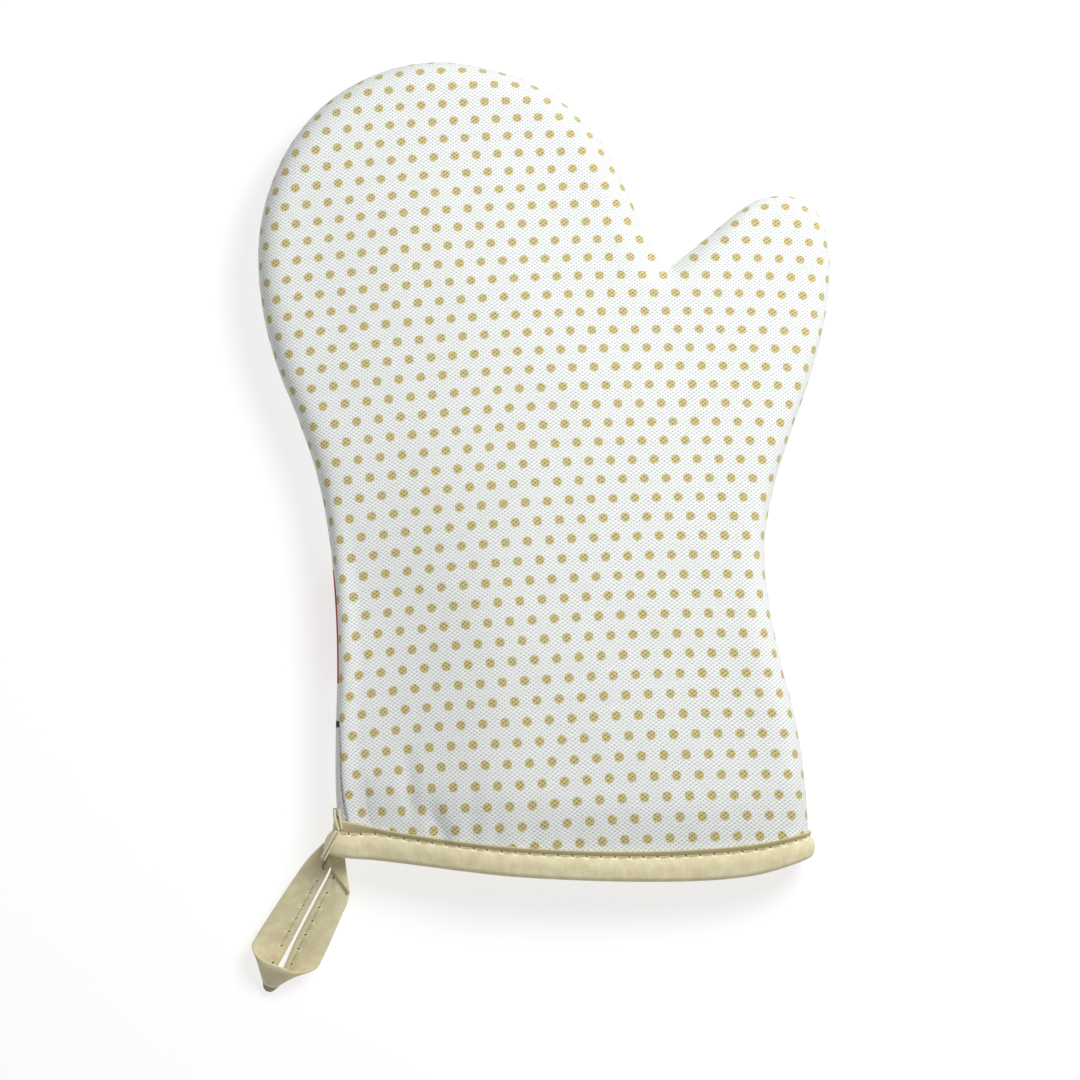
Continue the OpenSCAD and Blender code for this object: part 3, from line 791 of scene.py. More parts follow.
# The third of these is painted shade in the weave's pinholes.
TAPE_FLUFF, TAPE_RIB, TAPE_PINHOLE_SHADE = (0.88, 0.83, 0.60), (0.60, 0.55, 0.35), (0.42, 0.37, 0.22)
TAPE_STRIP_PAINTED_SHADE = (0.36, 0.315, 0.155)  # painted shade along the stitched strip
TAPE_PAINTED_HIGHLIGHT = (0.93, 0.89, 0.68)  # painted highlight on the stitch puffs and on the loop tip's rim
TIP_PAINTED_SHADE = (0.25, 0.21, 0.12)  # painted shade inside the loop's tip
# painted shade in the needle holes
STITCH_HOLE_PAINTED_SHADE = (0.14, 0.10, 0.045)
TAPE_YARN = 0.42


def bias_tape(name, pitch=None, rows=(), strip=None, ribs=0.25, nub=None):
    """Beige cotton tape cut on the bias; UV runs along the tape and across it.

    rows are stitch rows (height and lean) with stitches a pitch apart, their holes in painted shade and the
    tape beside them in painted highlight; strip is a stretch across the tape darkened with painted shade,
    and nub is where the loop's tip is painted dark as shade, with a painted highlight along its rim.
    """
    g = Nodes(name)
    u, v = g.uv()
    bias = 0.7071 * 100 / TAPE_YARN
    a, b = g.mul(g.plus(u, v), bias), g.mul(g.sub(u, v), bias)
    height, opening = g.weave(a, b)
    blotch = g.noise(u, v, 26, 3.0)
    fibre = g.noise(u, v, 190, 2.0)
    rib = g.noise(u, v, 95, 1.0, 0.12)
    colour = g.mix(g.step(blotch, 0.25, 0.8), TAPE_DARK, TAPE_LIGHT)
    colour = g.tint(colour, TAPE_FLUFF, g.step(fibre, 0.45, 0.8), 0.3)
    colour = g.tint(colour, TAPE_RIB, g.step(rib, 0.5, 0.75), ribs)
    # painted shade in the weave's pinholes
    colour = g.tint(colour, TAPE_PINHOLE_SHADE, opening, 0.3)
    bump = g.plus(g.mul(height, 0.35), g.mul_add(rib, 0.5, blotch))
    # painted shade along the strip above the stitches, fainter at the start of the row
    if strip:
        low, high = strip
        edges = ((low, -0.25), (low, 0.35), (high, -0.35), (high, -0.05))
        lengthwise = g.band(v, *[(y + blur) / 100 for y, blur in edges])
        shaded = g.mul(lengthwise, g.mul_add(g.step(u, 0.05, 0.17), 0.72, 0.28))
        colour = g.tint(colour, TAPE_STRIP_PAINTED_SHADE, shaded, 0.88)
    # painted shade over the loop's tip, under a painted highlight along its rim
    if nub:
        u_low, u_high, v_low = nub
        across_nub = g.band(u, u_low, u_low + 0.012, u_high - 0.012, u_high)
        rim = g.band(v, v_low - 0.010, v_low - 0.004, v_low, v_low + 0.004)
        dark = g.mul(across_nub, g.step(v, v_low, v_low + 0.004))
        colour = g.tint(colour, TAPE_PAINTED_HIGHLIGHT, g.mul(across_nub, rim), 0.6)
        colour = g.tint(colour, TIP_PAINTED_SHADE, dark, 0.75)
    # each needle hole in painted shade, and a painted highlight on the tape puffed beside it
    for row, lean in rows:
        hole, puff = g.stitch_marks(u, v, pitch, row, lean)
        colour = g.mix(hole, g.tint(colour, TAPE_PAINTED_HIGHLIGHT, puff, 0.55), STITCH_HOLE_PAINTED_SHADE)
        bump = g.plus(g.sub(bump, g.mul(hole, 1.5)), g.mul(puff, 0.6))
    return g.finish(colour, 0.8, bump, 0.00018, 0.6, sheen=0.15)


def plain_cloth(name, light, dark, yarn):
    g = Nodes(name)
    x, y = g.uv()
    u = g.mul(x, 100 / yarn)
    v = g.mul(y, 100 / yarn)
    height, opening = g.weave(u, v)
    # Painted shade: darker low on the yarns and darker still in the pinholes.
    colour = g.mix(g.step(height, 0.35, 0.95), dark, light)
    colour = g.tint(colour, tuple(c * 0.6 for c in dark), opening, 0.5)
    return g.finish(colour, 0.9, height, 0.00015, 0.8, sheen=0.1)


COTTON = printed_cotton()
CANVAS = banded_canvas()
TAPE = bias_tape("bias_tape")
RAW_TAPE = plain_cloth("raw_tape_edge", (0.84, 0.81, 0.62), (0.60, 0.52, 0.33), 0.42)
THREAD = plain_cloth("sewing_thread", (0.86, 0.80, 0.58), (0.60, 0.53, 0.34), 0.25)
TACK_THREAD = plain_cloth("tack_thread", (0.62, 0.36, 0.13), (0.34, 0.19, 0.07), 0.25)
# The seam thread is real, but its grey stands in for the shade of the groove it lies in: painted shade.
SEAM_THREAD_IN_PAINTED_SHADE = plain_cloth("seam_thread_in_painted_shade", (0.55, 0.54, 0.52), (0.36, 0.36, 0.36), 0.25)
LINING = plain_cloth("lining_cotton", (0.82, 0.81, 0.77), (0.62, 0.61, 0.58), 0.5)
BATTING = plain_cloth("batting_fibre", (0.88, 0.88, 0.86), (0.74, 0.74, 0.72), 1.6)


def dress(obj, material):
    obj.data.materials.clear()
    obj.data.materials.append(material)
    return obj


# ---- shells, batting and linings

SHELL_STEP, SHELL_ROWS, SHELL_FIELD = 1.4, 16, 2.3
INNER_STEP, INNER_ROWS, INNER_FIELD = 2.8, 8, 4.6
INNER_RING = 13.0
BATTING_GAP = 0.9  # from the shell's outside to the batting
LINING_TOP = 5.7  # from the mid plane to the lining's outside
SIDES = {"palm": 1, "back": -1}
CLOTH_OF = {"palm": (print_coordinates, COTTON), "back": (plain_coordinates, CANVAS)}


def batting_top(p):
    return shell_top(p) - BATTING_GAP


def level(height):
    return lambda p: np.full(len(p), height)


# Each face of an inner layer: its inset and height at the edge, its height inside, and its share of the
# shell's folds with how much wider they are there
INNER_FACES = {
    ("batting", "out"): (1.3, 0.8, batting_top, 1.8, 2.2),
    ("batting", "in"): (3.4, 0.5, level(LINING_TOP + 0.1)),
    ("lining", "out"): (3.6, 0.45, level(LINING_TOP)),
    ("lining", "in"): (4.6, 0.15, level(INNER_HEIGHT)),
}

shells, shell_meshes = {}, {}
for side_name, side in SIDES.items():
    coordinates, cloth = CLOTH_OF[side_name]
    mesh = Side(side, SHELL_STEP, SHELL_ROWS, SHELL_FIELD, EDGE_RUN)
    outer, flat = mesh.surface(shell_profile, shell_top, side > 0)
    shells[side_name] = layer("shell_" + side_name, mesh, outer, None, coordinates(flat))
    shell_meshes[side_name] = (mesh, outer)
    inside_mesh = Side(side, INNER_STEP, INNER_ROWS, INNER_FIELD, INNER_RING)
    faces_of = {}
    for key, (inset, edge, top, *folds) in INNER_FACES.items():
        rough = bool(folds) and side > 0
        faces_of[key] = inside_mesh.surface(inner_profile(inset, edge, top), top, rough, *folds)[0]
    pieces = {}
    for kind, slot_name, material in (("batting", "batting", BATTING), ("lining", "cotton_lining", LINING)):
        upper, under = faces_of[kind, "out"], faces_of[kind, "in"]
        uv = plain_coordinates(upper[:, :2])
        made = layer(f"{kind}_{side_name}", inside_mesh, upper, under, uv)
        pieces[kind] = (made, material)
    pieces["shell"] = (shells[side_name], cloth)
    for kind, (made, material) in pieces.items():
        for part, obj in made.items():
            dress(obj, material)
        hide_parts(f"{side_name}_{kind}_hand", f"{side_name}_{kind}_fingers")
        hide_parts(f"{side_name}_{kind}_thumb")
        bend_fingers(made[HAND])
        bend_thumb(made[THUMB])

# ---- the side seam's thread

SEAM_THREAD = 0.34  # the thread's radius
SEAM_SINK = 0.95  # how far below the shells' face it lies
SEAM_SIDES = 8
SEAM_TWIST = 0.9  # radians for each millimetre
SEAM_TRIM = 5  # points of the seam without thread at the mouth, where the binding holds the layers


def seam_tube(first, last):
    """Rings of the thread that lies in the groove between the shells, along part of the seam."""
    mesh = shell_meshes["palm"][0]
    seam = mesh.seam
    rings = []
    for i in range(first, last + 1):
        wall = Wall(shell_top(seam.points[i : i + 1])[0], EDGE_RUN, seam.power[i])
        d, h, out_d, out_h = (v[0] for v in wall.at(np.array([seam.climb[i]])))
        d, h = d - SEAM_SINK * out_d, h - SEAM_SINK * out_h
        twist = SEAM_TWIST * seam.s[i]
        ring = []
        for k in range(SEAM_SIDES):
            turn = 2 * math.pi * k / SEAM_SIDES + twist
            size = SEAM_THREAD * (1 + 0.18 * math.cos(2 * (turn - twist)))
            depth, up = d + size * math.cos(turn), h + size * math.sin(turn)
            ring.append([*(seam.points[i] + depth * seam.inward[i]), MID + up])
        rings.append(ring)
    return np.array(rings)


def tube_faces(k, m, loop_u, loop_v, start=0):
    """Quads through a grid of k by m points; either way round may close on itself."""
    faces = []
    for i in range(k if loop_u else k - 1):
        for j in range(m if loop_v else m - 1):
            i2, j2 = (i + 1) % k, (j + 1) % m
            faces.append([start + i * m + j, start + i2 * m + j, start + i2 * m + j2, start + i * m + j2])
    return faces


def end_caps(k, m, start=0):
    return [list(range(start, start + m)), list(range(start + k * m - 1, start + (k - 1) * m - 1, -1))]


def piece(name, points, faces, uv, material, slot_name, *nodes):
    """A visible piece with its material, which hides the CAD nodes that it stands for; slot_name is not
    used.
    """
    obj = dress(make_mesh(name, points, faces, uv), material)
    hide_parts(*nodes)
    return obj


def tube_piece(name, tubes, material, slot_name, *nodes):
    """One piece of closed tubes, each a grid of rings; UV runs along each tube and round it."""
    faces, uv, start = [], [], 0
    for rings in tubes:
        k, m = rings.shape[:2]
        faces += tube_faces(k, m, False, True, start) + end_caps(k, m, start)
        start += k * m
        along = lengths(rings.mean(1))
        around = lengths(rings[k // 2])
        uv += [[a / 100, b / 100] for a in along for b in around]
    points = np.vstack([rings.reshape(-1, 3) for rings in tubes])
    return piece(name, points, faces, uv, material, slot_name, *nodes)


seam = shell_meshes["palm"][0].seam
last_point = len(seam.points) - 1 - SEAM_TRIM
hand_seam = tube_piece(
    "seam_thread", [seam_tube(SEAM_TRIM, seam.crotch), seam_tube(seam.wrist, last_point)],
    SEAM_THREAD_IN_PAINTED_SHADE, "sewing_thread", "side_seam_hand", "side_seam_fingers",
)
thumb_seam = tube_piece(
    "seam_thread_thumb", [seam_tube(seam.crotch, seam.wrist)],
    SEAM_THREAD_IN_PAINTED_SHADE, "sewing_thread", "side_seam_thumb",
)
bend_fingers(hand_seam)
bend_thumb(thumb_seam)

# ---- the binding


def side_x(y, right):
    """X of the left or right side seam at a height on the cuff."""
    line = thumb_line[::-1] if right else finger_line
    part = line[: 4 * SIDE_STEPS]
    return np.interp(y, part[:, 1], part[:, 0])


ROLL_POINTS = 13  # round each of the mouth's rolled corners


def stations(step):
    """Places round the mouth: share of the way left, way in from the side seam, and height.

    The second result is how many of them are on the palm side, from the right seam to the left one.
    """
    d, h, s = wall_table(HEIGHT - MOUTH_DIP, EDGE_RUN, EDGE_POWER)
    turn = np.linspace(0, 1, ROLL_POINTS)
    roll_d = np.interp(turn * s[-1], s, d) / EDGE_RUN
    roll_h = np.interp(turn * s[-1], s, h) / (HEIGHT - MOUTH_DIP)
    width = side_x(CUFF_Y, True) - side_x(CUFF_Y, False) - 2 * EDGE_RUN
    count = int(width / step)
    flat = np.linspace(0, 1, count + 1)[1:-1]
    palm_side = [(1, a, b) for a, b in zip(roll_d, roll_h)]
    palm_side += [(1 - t, 1 - 2 * t, 1) for t in flat]
    palm_side += [(0, -a, b) for a, b in zip(roll_d[::-1], roll_h[::-1])]
    back_side = [(l, i, -r) for l, i, r in palm_side[::-1][1:-1]]
    return np.array(palm_side + back_side), len(palm_side)


MOUTH_STEP = 1.6
ROUND_MOUTH, PALM_COUNT = stations(MOUTH_STEP)


def section(up, inset=0.0, height=None):
    """Points round the mitt at a height above the layers' edge, on its outside or on the lining."""
    left, into, rise = ROUND_MOUTH.T
    x = left * (side_x(CUFF_Y, False) + inset) + (1 - left) * (side_x(CUFF_Y, True) - inset)
    for _ in range(3):
        y = mouth_y(x) + up
        l, r = side_x(y, False) + inset, side_x(y, True) - inset
        x = left * l + (1 - left) * r + into * EDGE_RUN
    p = np.column_stack([x, y])
    full = HEIGHT - dip(p) if height is None else np.full(len(x), height)
    z = MID + full * rise
    side = rise > 0
    d = np.minimum(x - l, r - x)
    z = z + np.where(side, crown(d, 1) + relief(p, 1, 0.55) * smooth(d / RELIEF_RUN), 0)
    return np.column_stack([x, y, z])


def outward(points):
    """Directions away from the mitt's inside, in the section's own plane."""
    t = np.roll(points, -1, axis=0) - np.roll(points, 1, axis=0)
    n = np.column_stack([-t[:, 2], 0 * t[:, 0], t[:, 0]])
    return n / np.maximum(np.linalg.norm(n, axis=1), 1e-9)[:, None]


INNER_INSET = 6.0  # from the side seam to the tape's inner face
# Share of the tape's height, and how far its face stands off the cloth
TAPE_FACE = [
    (1.0, 0.1), (1.0, 0.45), (1.0, 0.85), (0.96, 1.0), (0.91, 0.92), (0.86, 0.72), (0.81, 0.5),
    (0.785, 0.42), (0.755, 0.5), (0.71, 0.85), (0.64, 1.3), (0.54, 1.65), (0.42, 1.85), (0.29, 1.85),
    (0.16, 1.7), (0.05, 1.5),
]
# The same for the face inside the mouth, up to its edge and back under it
TAPE_BACK = [
    (0.2, 1.3), (0.5, 1.2), (0.8, 1.1), (0.95, 1.0), (1.0, 0.6), (0.97, 0.2), (0.6, 0.15), (0.2, 0.15)
]
FOLD_STEPS = 7
STITCH_ROW = 7  # the ring of TAPE_FACE that the stitches lie on
CORNER_DROP = 0.17  # how far down the tape the stitches go at the loop's corner
CORNER_FLARE = 4.6  # how far the tape's lower edge stands out at the loop's corner


def binding_rings():
    """The tape's surface as rings round the mouth: outside, fold, inside and back under itself."""
    x0 = section(0)[:, 0]
    width = tape_width(x0)
    stitched = TAPE_FACE[STITCH_ROW][0]
    dropped = stitched - CORNER_DROP * smooth((-50 - x0) / 10)
    near_left = smooth(1 - (x0 - x0.min()) / 9)
    rings = []

    def ring(share, face, into, drop):
        above = dropped + (share - stitched) * (1 - dropped) / (1 - stitched)
        moved = share * dropped / stitched if share < stitched else above
        up = moved * width
        outer = section(up)
        lining = section(up, INNER_INSET, INNER_HEIGHT)
        out_n, in_n = outward(outer), -outward(lining)
        a, b = outer + face * out_n, lining + face * in_n
        a[:, 0] -= CORNER_FLARE * near_left * np.clip(1 - moved, 0, 1)
        p = (1 - into) * a + into * b
        p[:, 1] -= drop
        rings.append(p)

    turns = [math.pi * k / FOLD_STEPS for k in range(FOLD_STEPS + 1)]
    for share, face in TAPE_FACE:
        ring(share, face, 0, 0)
    for angle in turns:
        ring(0, 1.4, (1 - math.cos(angle)) / 2, TAPE_REACH * math.sin(angle))
    for share, face in TAPE_BACK:
        ring(share, face, 1, 0)
    for angle in turns[::-1]:
        ring(0, 0.15, (1 - math.cos(angle)) / 2, 0.4 * TAPE_REACH * math.sin(angle))
    for share in (0.3, 0.7):
        ring(share, 0.05, 0, 0)
    return np.array(rings)


STITCH_PITCH = 4.5
STITCH_CLEAR = 6.0  # how far from the side seams the rows end
STITCH_RISE, STITCH_SUNK = 0.45, 0.22  # how high a stitch arches, and how deep its ends lie
LENGTH_RING = 12  # the ring on which lengths round the mouth are measured
STRIP_RING = 3  # the ring just under which the strip of painted shade by the stitches starts
STITCH_END = 0.35  # from a hole's middle to the thread's end


def hole_range(first, last, pitch):
    """The first and past the last stitch between two lengths along a row."""
    return int(np.ceil(first / pitch)), int(last / pitch)


def stitch(hole, pitch):
    """One stitch from hole to hole: shares of its length, lengths along the row, and its arch."""
    s = np.linspace(hole * pitch + STITCH_END, (hole + 1) * pitch - STITCH_END, 9)
    share = (s - s[0]) / (s[-1] - s[0])
    return share, s, np.sin(math.pi * share) ** 0.6


def at_lengths(line, known, s):
    """The line's points at lengths s, from those known at its own points."""
    return np.column_stack([np.interp(s, known, line[:, c]) for c in range(3)])


THREAD_SIDES = 6
THREAD_TWIST = 0.9  # turn from one ring to the next, in radians


def thread(points, lift, radius=0.2):
    """Rings of one stitch along points; lift says which way is off the cloth at each point."""
    points, lift = np.asarray(points, float), np.asarray(lift, float)
    way = np.gradient(points, axis=0)
    way /= np.linalg.norm(way, axis=1)[:, None]
    across = np.cross(way, lift)
    across /= np.linalg.norm(across, axis=1)[:, None]
    off = np.cross(across, way)
    rings = []
    for i, p in enumerate(points):
        ring = []
        for k in range(THREAD_SIDES):
            turn = 2 * math.pi * k / THREAD_SIDES + THREAD_TWIST * i
            size = radius * (1 + 0.16 * math.cos(2 * (turn - THREAD_TWIST * i)))
            ring.append(p + size * (math.cos(turn) * across[i] + math.sin(turn) * off[i]))
        rings.append(ring)
    return np.array(rings)


rings = binding_rings()
k, m = rings.shape[:2]
points, faces = rings.reshape(-1, 3), tube_faces(k, m, True, True)
walk = np.vstack([rings[LENGTH_RING], rings[LENGTH_RING][:1]])
along = lengths(walk)[:m]
down = lengths(rings[:, m // 4])
TAPE_ROW = down[STITCH_ROW]
BOUND_TAPE = bias_tape(
    "stitched_tape", STITCH_PITCH, [(TAPE_ROW, 35)], (down[STRIP_RING] - 0.3, TAPE_ROW), ribs=0.22
)
uv = np.array([[along[j] / 100, down[i] / 100] for i in range(k) for j in range(m)])
binding = piece("binding", points, faces, uv, BOUND_TAPE, "binding_tape", "cuff_binding")
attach(binding, HAND)


def binding_stitches():
    """The two rows that hold the tape, one stitch from each hole to the next."""
    row = rings[STITCH_ROW]
    normals = outward(row)
    below, above = rings[STITCH_ROW + 2], rings[STITCH_ROW - 2]
    made = []
    spans = [(0, PALM_COUNT), (PALM_COUNT - 1, m)]
    for first, last in spans:
        at = along[first:last]
        for hole in range(*hole_range(at[0] + STITCH_CLEAR, at[-1] - STITCH_CLEAR, STITCH_PITCH)):
            share, s, arch = stitch(hole, STITCH_PITCH)
            p, n, low, high = (at_lengths(line[first:last], at, s) for line in (row, normals, below, above))
            down_tape = (low - high) / np.linalg.norm(low - high, axis=1)[:, None]
            rise, slide = STITCH_RISE * arch - STITCH_SUNK, (0.55 - 0.8 * share) * 0.75
            made.append(thread(p + rise[:, None] * n + slide[:, None] * down_tape, n))
    return made


stitches = tube_piece("binding_stitches", binding_stitches(), THREAD, "sewing_thread", "cuff_topstitch")
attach(stitches, HAND)

# ---- the hanging loop

# Both edges of the folded tape from the corner down the left leg, round the end and up the right leg
LOOP_EDGES = [
    ((-64.2, -102.4, 8.2), (-66.6, -97.9, 8.6)),
    ((-66.4, -106.0, 8.2), (-71.5, -102.6, 8.8)),
    ((-67.9, -109.8, 7.7), (-75.7, -107.3, 8.1)),
    ((-73.4, -120.0, 5.3), (-83.7, -119.2, 6.7)),
    ((-79.4, -131.5, 2.7), (-90.8, -130.3, 6.0)),
    ((-83.6, -139.2, 1.8), (-92.2, -133.9, 6.9)),
    ((-88.3, -146.6, 1.3), (-89.9, -137.1, 8.5)),
    ((-86.9, -148.6, 1.2), (-83.6, -139.7, 9.6)),
    ((-84.9, -146.9, 1.3), (-78.0, -141.8, 9.0)),
    ((-81.8, -139.9, 2.0), (-72.3, -141.2, 7.2)),
    ((-78.7, -132.5, 3.1), (-69.3, -136.9, 6.3)),
    ((-72.6, -120.5, 5.5), (-64.2, -125.5, 6.6)),
    ((-67.3, -110.2, 7.3), (-61.1, -117.4, 7.3)),
    ((-67.0, -106.4, 7.3), (-62.1, -108.6, 7.4)),
]
LOOP_STEPS = 7
# Share of the tape's width from its open edge, and height of each face; the stitches pull it in
LOOP_TOP_FACE = [
    (0.0, 0.2), (0.015, 0.5), (0.06, 0.72), (0.13, 0.66), (0.18, 0.5), (0.215, 0.4), (0.25, 0.5),
    (0.33, 0.74), (0.48, 0.86), (0.68, 0.88), (0.86, 0.76), (0.955, 0.5), (0.995, 0.15),
]
LOOP_UNDER_FACE = [
    (0.995, -0.15), (0.955, -0.5), (0.82, -0.7), (0.55, -0.74), (0.3, -0.62), (0.215, -0.4), (0.14, -0.58),
    (0.05, -0.64), (0.015, -0.45), (0.0, -0.2), (0.05, 0.0),
]
LOOP_STITCH = 5
LOOP_STITCH_PITCH, LOOP_STITCH_RISE = 4.9, 0.42
LOOP_TIP = (6, 8)  # the pairs of LOOP_EDGES on either side of its tip

gap_edge = spline([e[0] for e in LOOP_EDGES], LOOP_STEPS)
outer_edge = spline([e[1] for e in LOOP_EDGES], LOOP_STEPS)
middle = (gap_edge + outer_edge) / 2
across_tape = (outer_edge - gap_edge) / np.linalg.norm(outer_edge - gap_edge, axis=1)[:, None]
loop_up = np.cross(across_tape, np.gradient(middle, axis=0))
loop_up /= np.linalg.norm(loop_up, axis=1)[:, None]
loop_rings = np.array([
    gap_edge + share * (outer_edge - gap_edge) + face * loop_up
    for share, face in LOOP_TOP_FACE + LOOP_UNDER_FACE
]).swapaxes(0, 1)
run = lengths(middle)
around = lengths(loop_rings[3 * LOOP_STEPS])
tip_from, tip_to = (run[pair * LOOP_STEPS] / 100 for pair in LOOP_TIP)
# where the loop's tip takes its painted shade and the painted highlight along its rim
LOOP_END = (tip_from - 0.005, tip_to + 0.005, around[-6] / 100)
STITCHED_LOOP = bias_tape(
    "loop_tape", LOOP_STITCH_PITCH, [(around[LOOP_STITCH], 50)], ribs=0.15, nub=LOOP_END
)
k, m = loop_rings.shape[:2]
uv = [[a / 100, b / 100] for a in run for b in around]
faces = tube_faces(k, m, False, True) + end_caps(k, m)
points = loop_rings.reshape(-1, 3)
loop = piece("loop_tape", points, faces, uv, STITCHED_LOOP, "binding_tape", "hanging_loop")


def loop_threads():
    """The stitches that close the folded tape, down each leg."""
    row, made = loop_rings[:, LOOP_STITCH], []
    legs = [(run[int(2.1 * LOOP_STEPS)], run[5 * LOOP_STEPS]), (run[9 * LOOP_STEPS], run[12 * LOOP_STEPS])]
    for first, last in legs:
        for hole in range(*hole_range(first, last, LOOP_STITCH_PITCH)):
            share, s, arch = stitch(hole, LOOP_STITCH_PITCH)
            p, n, a = (at_lengths(line, run, s) for line in (row, loop_up, across_tape))
            rise, slide = LOOP_STITCH_RISE * arch - STITCH_SUNK, (share - 0.5) * 0.5
            made.append(thread(p + rise[:, None] * n + slide[:, None] * a, n, 0.17))
    return made


loop_stitches = tube_piece("loop_stitches", loop_threads(), THREAD, "sewing_thread", "loop_stitching")


def strip_rings(rows, thick):
    """Rings of a flat strip: rows of left point, right point and height; its right edge may turn down."""
    rings = []
    for (xl, yl), (xr, yr), z, turn in rows:
        l, r = np.array([xl, yl, z]), np.array([xr, yr, z])
        side_way = (r - l) / np.linalg.norm(r - l)
        h = thick / 2
        up = np.array([0, 0, 1.0])
        inner = r - side_way * 0.55
        rings.append([
            l, l + 0.15 * side_way + h * up, l + 0.5 * side_way + (h + 0.1) * up,
            (l + inner) / 2 + (h + 0.2) * up, inner - 0.3 * side_way + (h + 0.05) * up,
            r - 0.15 * side_way + (h - 0.25) * up, r - turn * 0.7 * up,
            r - 0.15 * side_way - turn * up, r - 0.5 * side_way - (h + turn * 0.9) * up, inner - h * up,
            (l + inner) / 2 - h * up, l + 0.3 * side_way - h * up,
        ])
    return np.array(rings)


PLATE_STEPS = 4


def plate(path, thick, low, high):
    """Rings of a tape edge standing on its side along a path in plan."""
    path = spline(np.column_stack([np.array(path, float), low, high]), PLATE_STEPS)
    way = np.gradient(path[:, :2], axis=0)
    way /= np.linalg.norm(way, axis=1)[:, None]
    side_way = np.column_stack([-way[:, 1], way[:, 0]])
    h, c = thick / 2, min(0.28, thick / 3)
    corners = [
        (-h + c, 0, 0), (h - c, 0, 0), (h, 0, c), (h, 1, -c), (h - c, 1, 0), (0, 1, 0.12),
        (-h + c, 1, 0), (-h, 1, -c), (-h, 0, c),
    ]
    rings = []
    for p, n in zip(path, side_way):
        tall = p[3] - p[2]
        rings.append([[*(p[:2] + off * n), p[2] + top * tall + more] for off, top, more in corners])
    return np.array(rings)


fold_rows = [
    ((-67.4, -102.6), (-62.0, -101.6), 9.9, 0.5), ((-67.5, -105.4), (-62.2, -103.8), 9.6, 0.9),
    ((-67.4, -107.6), (-62.3, -106.0), 9.3, 1.2), ((-66.0, -109.9), (-61.9, -108.9), 9.0, 1.2),
    ((-64.4, -112.2), (-61.6, -111.8), 8.8, 1.2), ((-62.9, -114.4), (-61.2, -114.3), 8.6, 1.1),
    ((-61.6, -116.5), (-60.8, -116.6), 8.2, 0.8),
]
loop_fold = tube_piece("loop_fold", [strip_rings(fold_rows, 1.1)], TAPE, "binding_tape")

with_loop = [loop_stitches, loop_fold]

for obj in (loop, *with_loop):
    bend(obj)

# ---- the loop's root, its raw ends and its tack

root_rows = [
    ((-66.6, -99.0), (-62.6, -98.6), 11.2, 0.3), ((-67.4, -101.6), (-61.9, -101.0), 11.2, 0.4),
    ((-68.0, -104.4), (-61.8, -103.4), 11.1, 0.4), ((-67.8, -106.6), (-62.0, -104.8), 11.0, 0.4),
    ((-67.3, -108.1), (-62.4, -105.4), 10.9, 0.2),
]
root = tube_piece("root_tape", [strip_rings(root_rows, 0.8)], TAPE, "binding_tape", "loop_root")

UPPER_PATHS = [
    [(-65.4, -89.1), (-65.2, -91.4), (-64.6, -93.8), (-63.9, -96.0)],
    [(-64.0, -89.0), (-63.7, -91.2), (-63.3, -93.6), (-62.9, -95.6)],
]
upper_ends = [
    plate(UPPER_PATHS[0], 1.0, [12] * 4, [18.6, 19.6, 20, 19.8]),
    plate(UPPER_PATHS[1], 0.9, [14] * 4, [19.0, 19.6, 20, 19.9]),
]
upper_flap = tube_piece("tape_end_upper", upper_ends, RAW_TAPE, "binding_tape", "loop_tail_upper")
LOWER_PATHS = [
    [(-64.6, -95.8), (-66.4, -99.0), (-68.1, -102.2), (-69.6, -104.9)],
    [(-63.7, -96.1), (-65.5, -99.4), (-67.2, -102.6), (-68.7, -105.3)],
]
lower_ends = [
    plate(LOWER_PATHS[0], 0.9, [12, 11, 10.4, 10.2], [21.0, 21.4, 21.2, 20.4]),
    plate(LOWER_PATHS[1], 0.8, [13, 12, 11, 10.6], [21.4, 21.8, 21.6, 20.8]),
]
lower_flap = tube_piece("tape_end_lower", lower_ends, RAW_TAPE, "binding_tape", "loop_tail_lower")

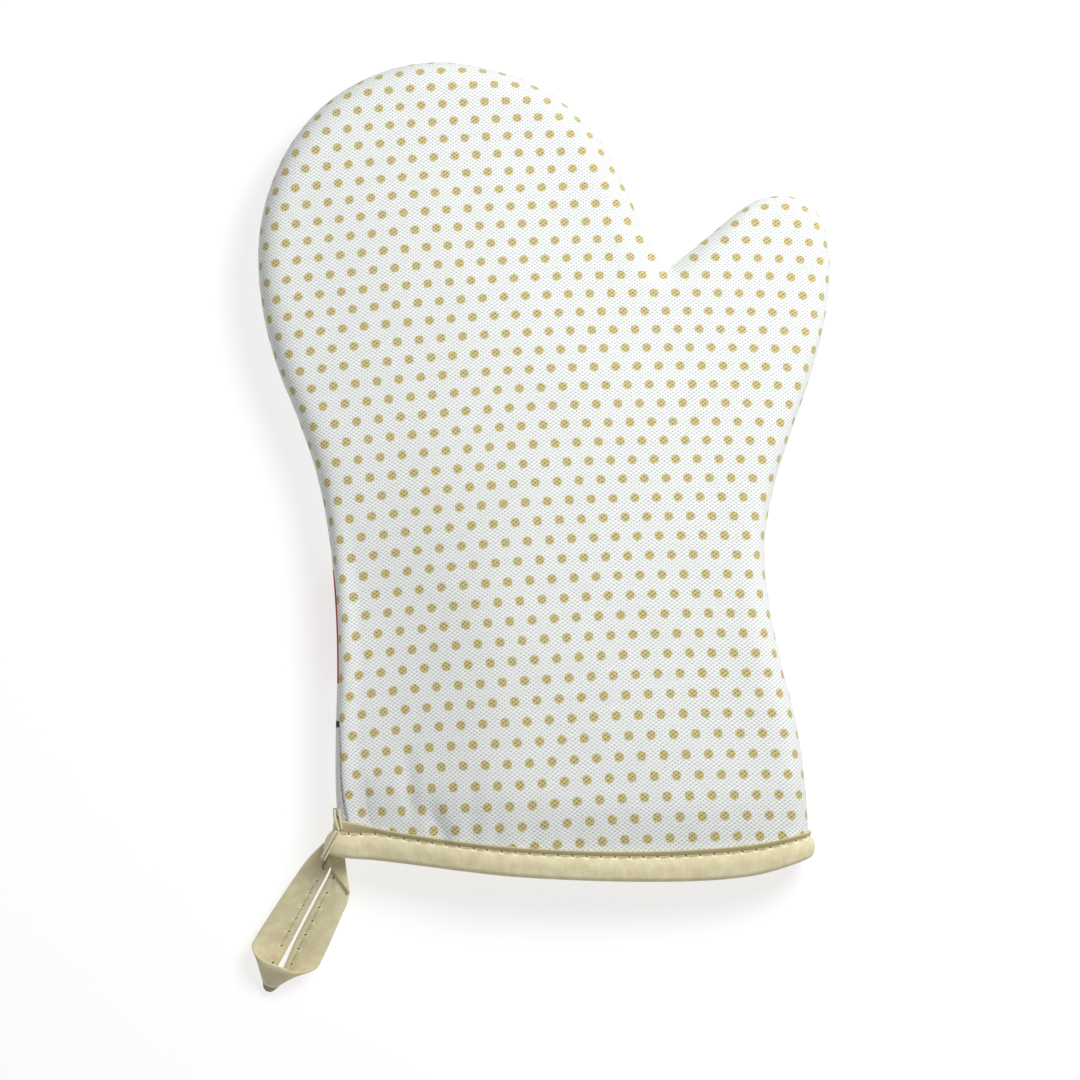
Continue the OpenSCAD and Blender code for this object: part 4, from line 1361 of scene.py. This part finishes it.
tack_path = [(-68.4, -105.3), (-69.0, -106.1), (-68.8, -106.9), (-69.5, -107.6), (-69.4, -108.5)]
tack = []
for (ax, ay), (bx, by) in zip(tack_path, tack_path[1:]):
    t = np.linspace(0, 1, 7)
    x, y = ax + t * (bx - ax), ay + t * (by - ay)
    z = 8.75 + 0.22 * np.sin(math.pi * t)
    tack.append(thread(np.column_stack([x, y, z]), np.tile([0, 0, 1.0], (7, 1)), 0.19))
loop_tack = tube_piece("tack_threads", tack, TACK_THREAD, "sewing_thread", "loop_tack")
for obj in (root, upper_flap, lower_flap, loop_tack):
    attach(obj, HAND)

# ---- stage, light and camera

FLOOR_HALF = 3.0  # metres
FLOOR_TONE, FLOOR_GLOW = 0.36, 0.7  # a pale floor that stays pale in the mitt's shadow
FLOOR_Z = -0.0002
SKY = 0.34
mesh = bpy.data.meshes.new("floor")
corners = [(x * FLOOR_HALF, y * FLOOR_HALF, 0) for x, y in ((-1, -1), (1, -1), (1, 1), (-1, 1))]
mesh.from_pydata(corners, [], [(0, 1, 2, 3)])
floor = link("floor", mesh)
floor.location.z = FLOOR_Z
g = Nodes("floor")
dress(floor, g.finish((FLOOR_TONE, FLOOR_TONE, FLOOR_TONE), 0.95))
g.shader.inputs["Emission Color"].default_value = (1, 1, 1, 1)
g.shader.inputs["Emission Strength"].default_value = FLOOR_GLOW

world = bpy.data.worlds.new("studio")
bpy.context.scene.world = world
world.use_nodes = True
sky = world.node_tree.nodes["Background"]
sky.inputs[0].default_value = (1, 1, 1, 1)
sky.inputs[1].default_value = SKY


def area_light(name, place, size, power):
    """A square light that faces the mitt."""
    data = bpy.data.lights.new(name, "AREA")
    data.shape = "SQUARE"
    data.size = size
    data.energy = power
    obj = link(name, data)
    obj.location = place
    obj.rotation_euler = (-Vector(place)).to_track_quat("-Z", "Y").to_euler()


area_light("key", (0.25, 0.26, 0.49), 0.28, 3.6)
area_light("fill", (-0.3, 0.5, 1.4), 1.4, 1.0)

CAMERA_HEIGHT = 1.5
VIEW_WIDTH = 0.34243  # metres across the picture, at the height that the camera is set from
VIEW_CENTRE = (-0.00008, -0.00367, 0.02)
SENSOR = 36.0
camera_data = bpy.data.cameras.new("camera")
camera_data.lens = SENSOR * CAMERA_HEIGHT / VIEW_WIDTH
camera_data.sensor_width = SENSOR
camera = link("camera", camera_data)
camera.location = Vector(VIEW_CENTRE) + Vector((0, 0, CAMERA_HEIGHT))
bpy.context.scene.camera = camera
bpy.context.scene.view_settings.view_transform = "Standard"
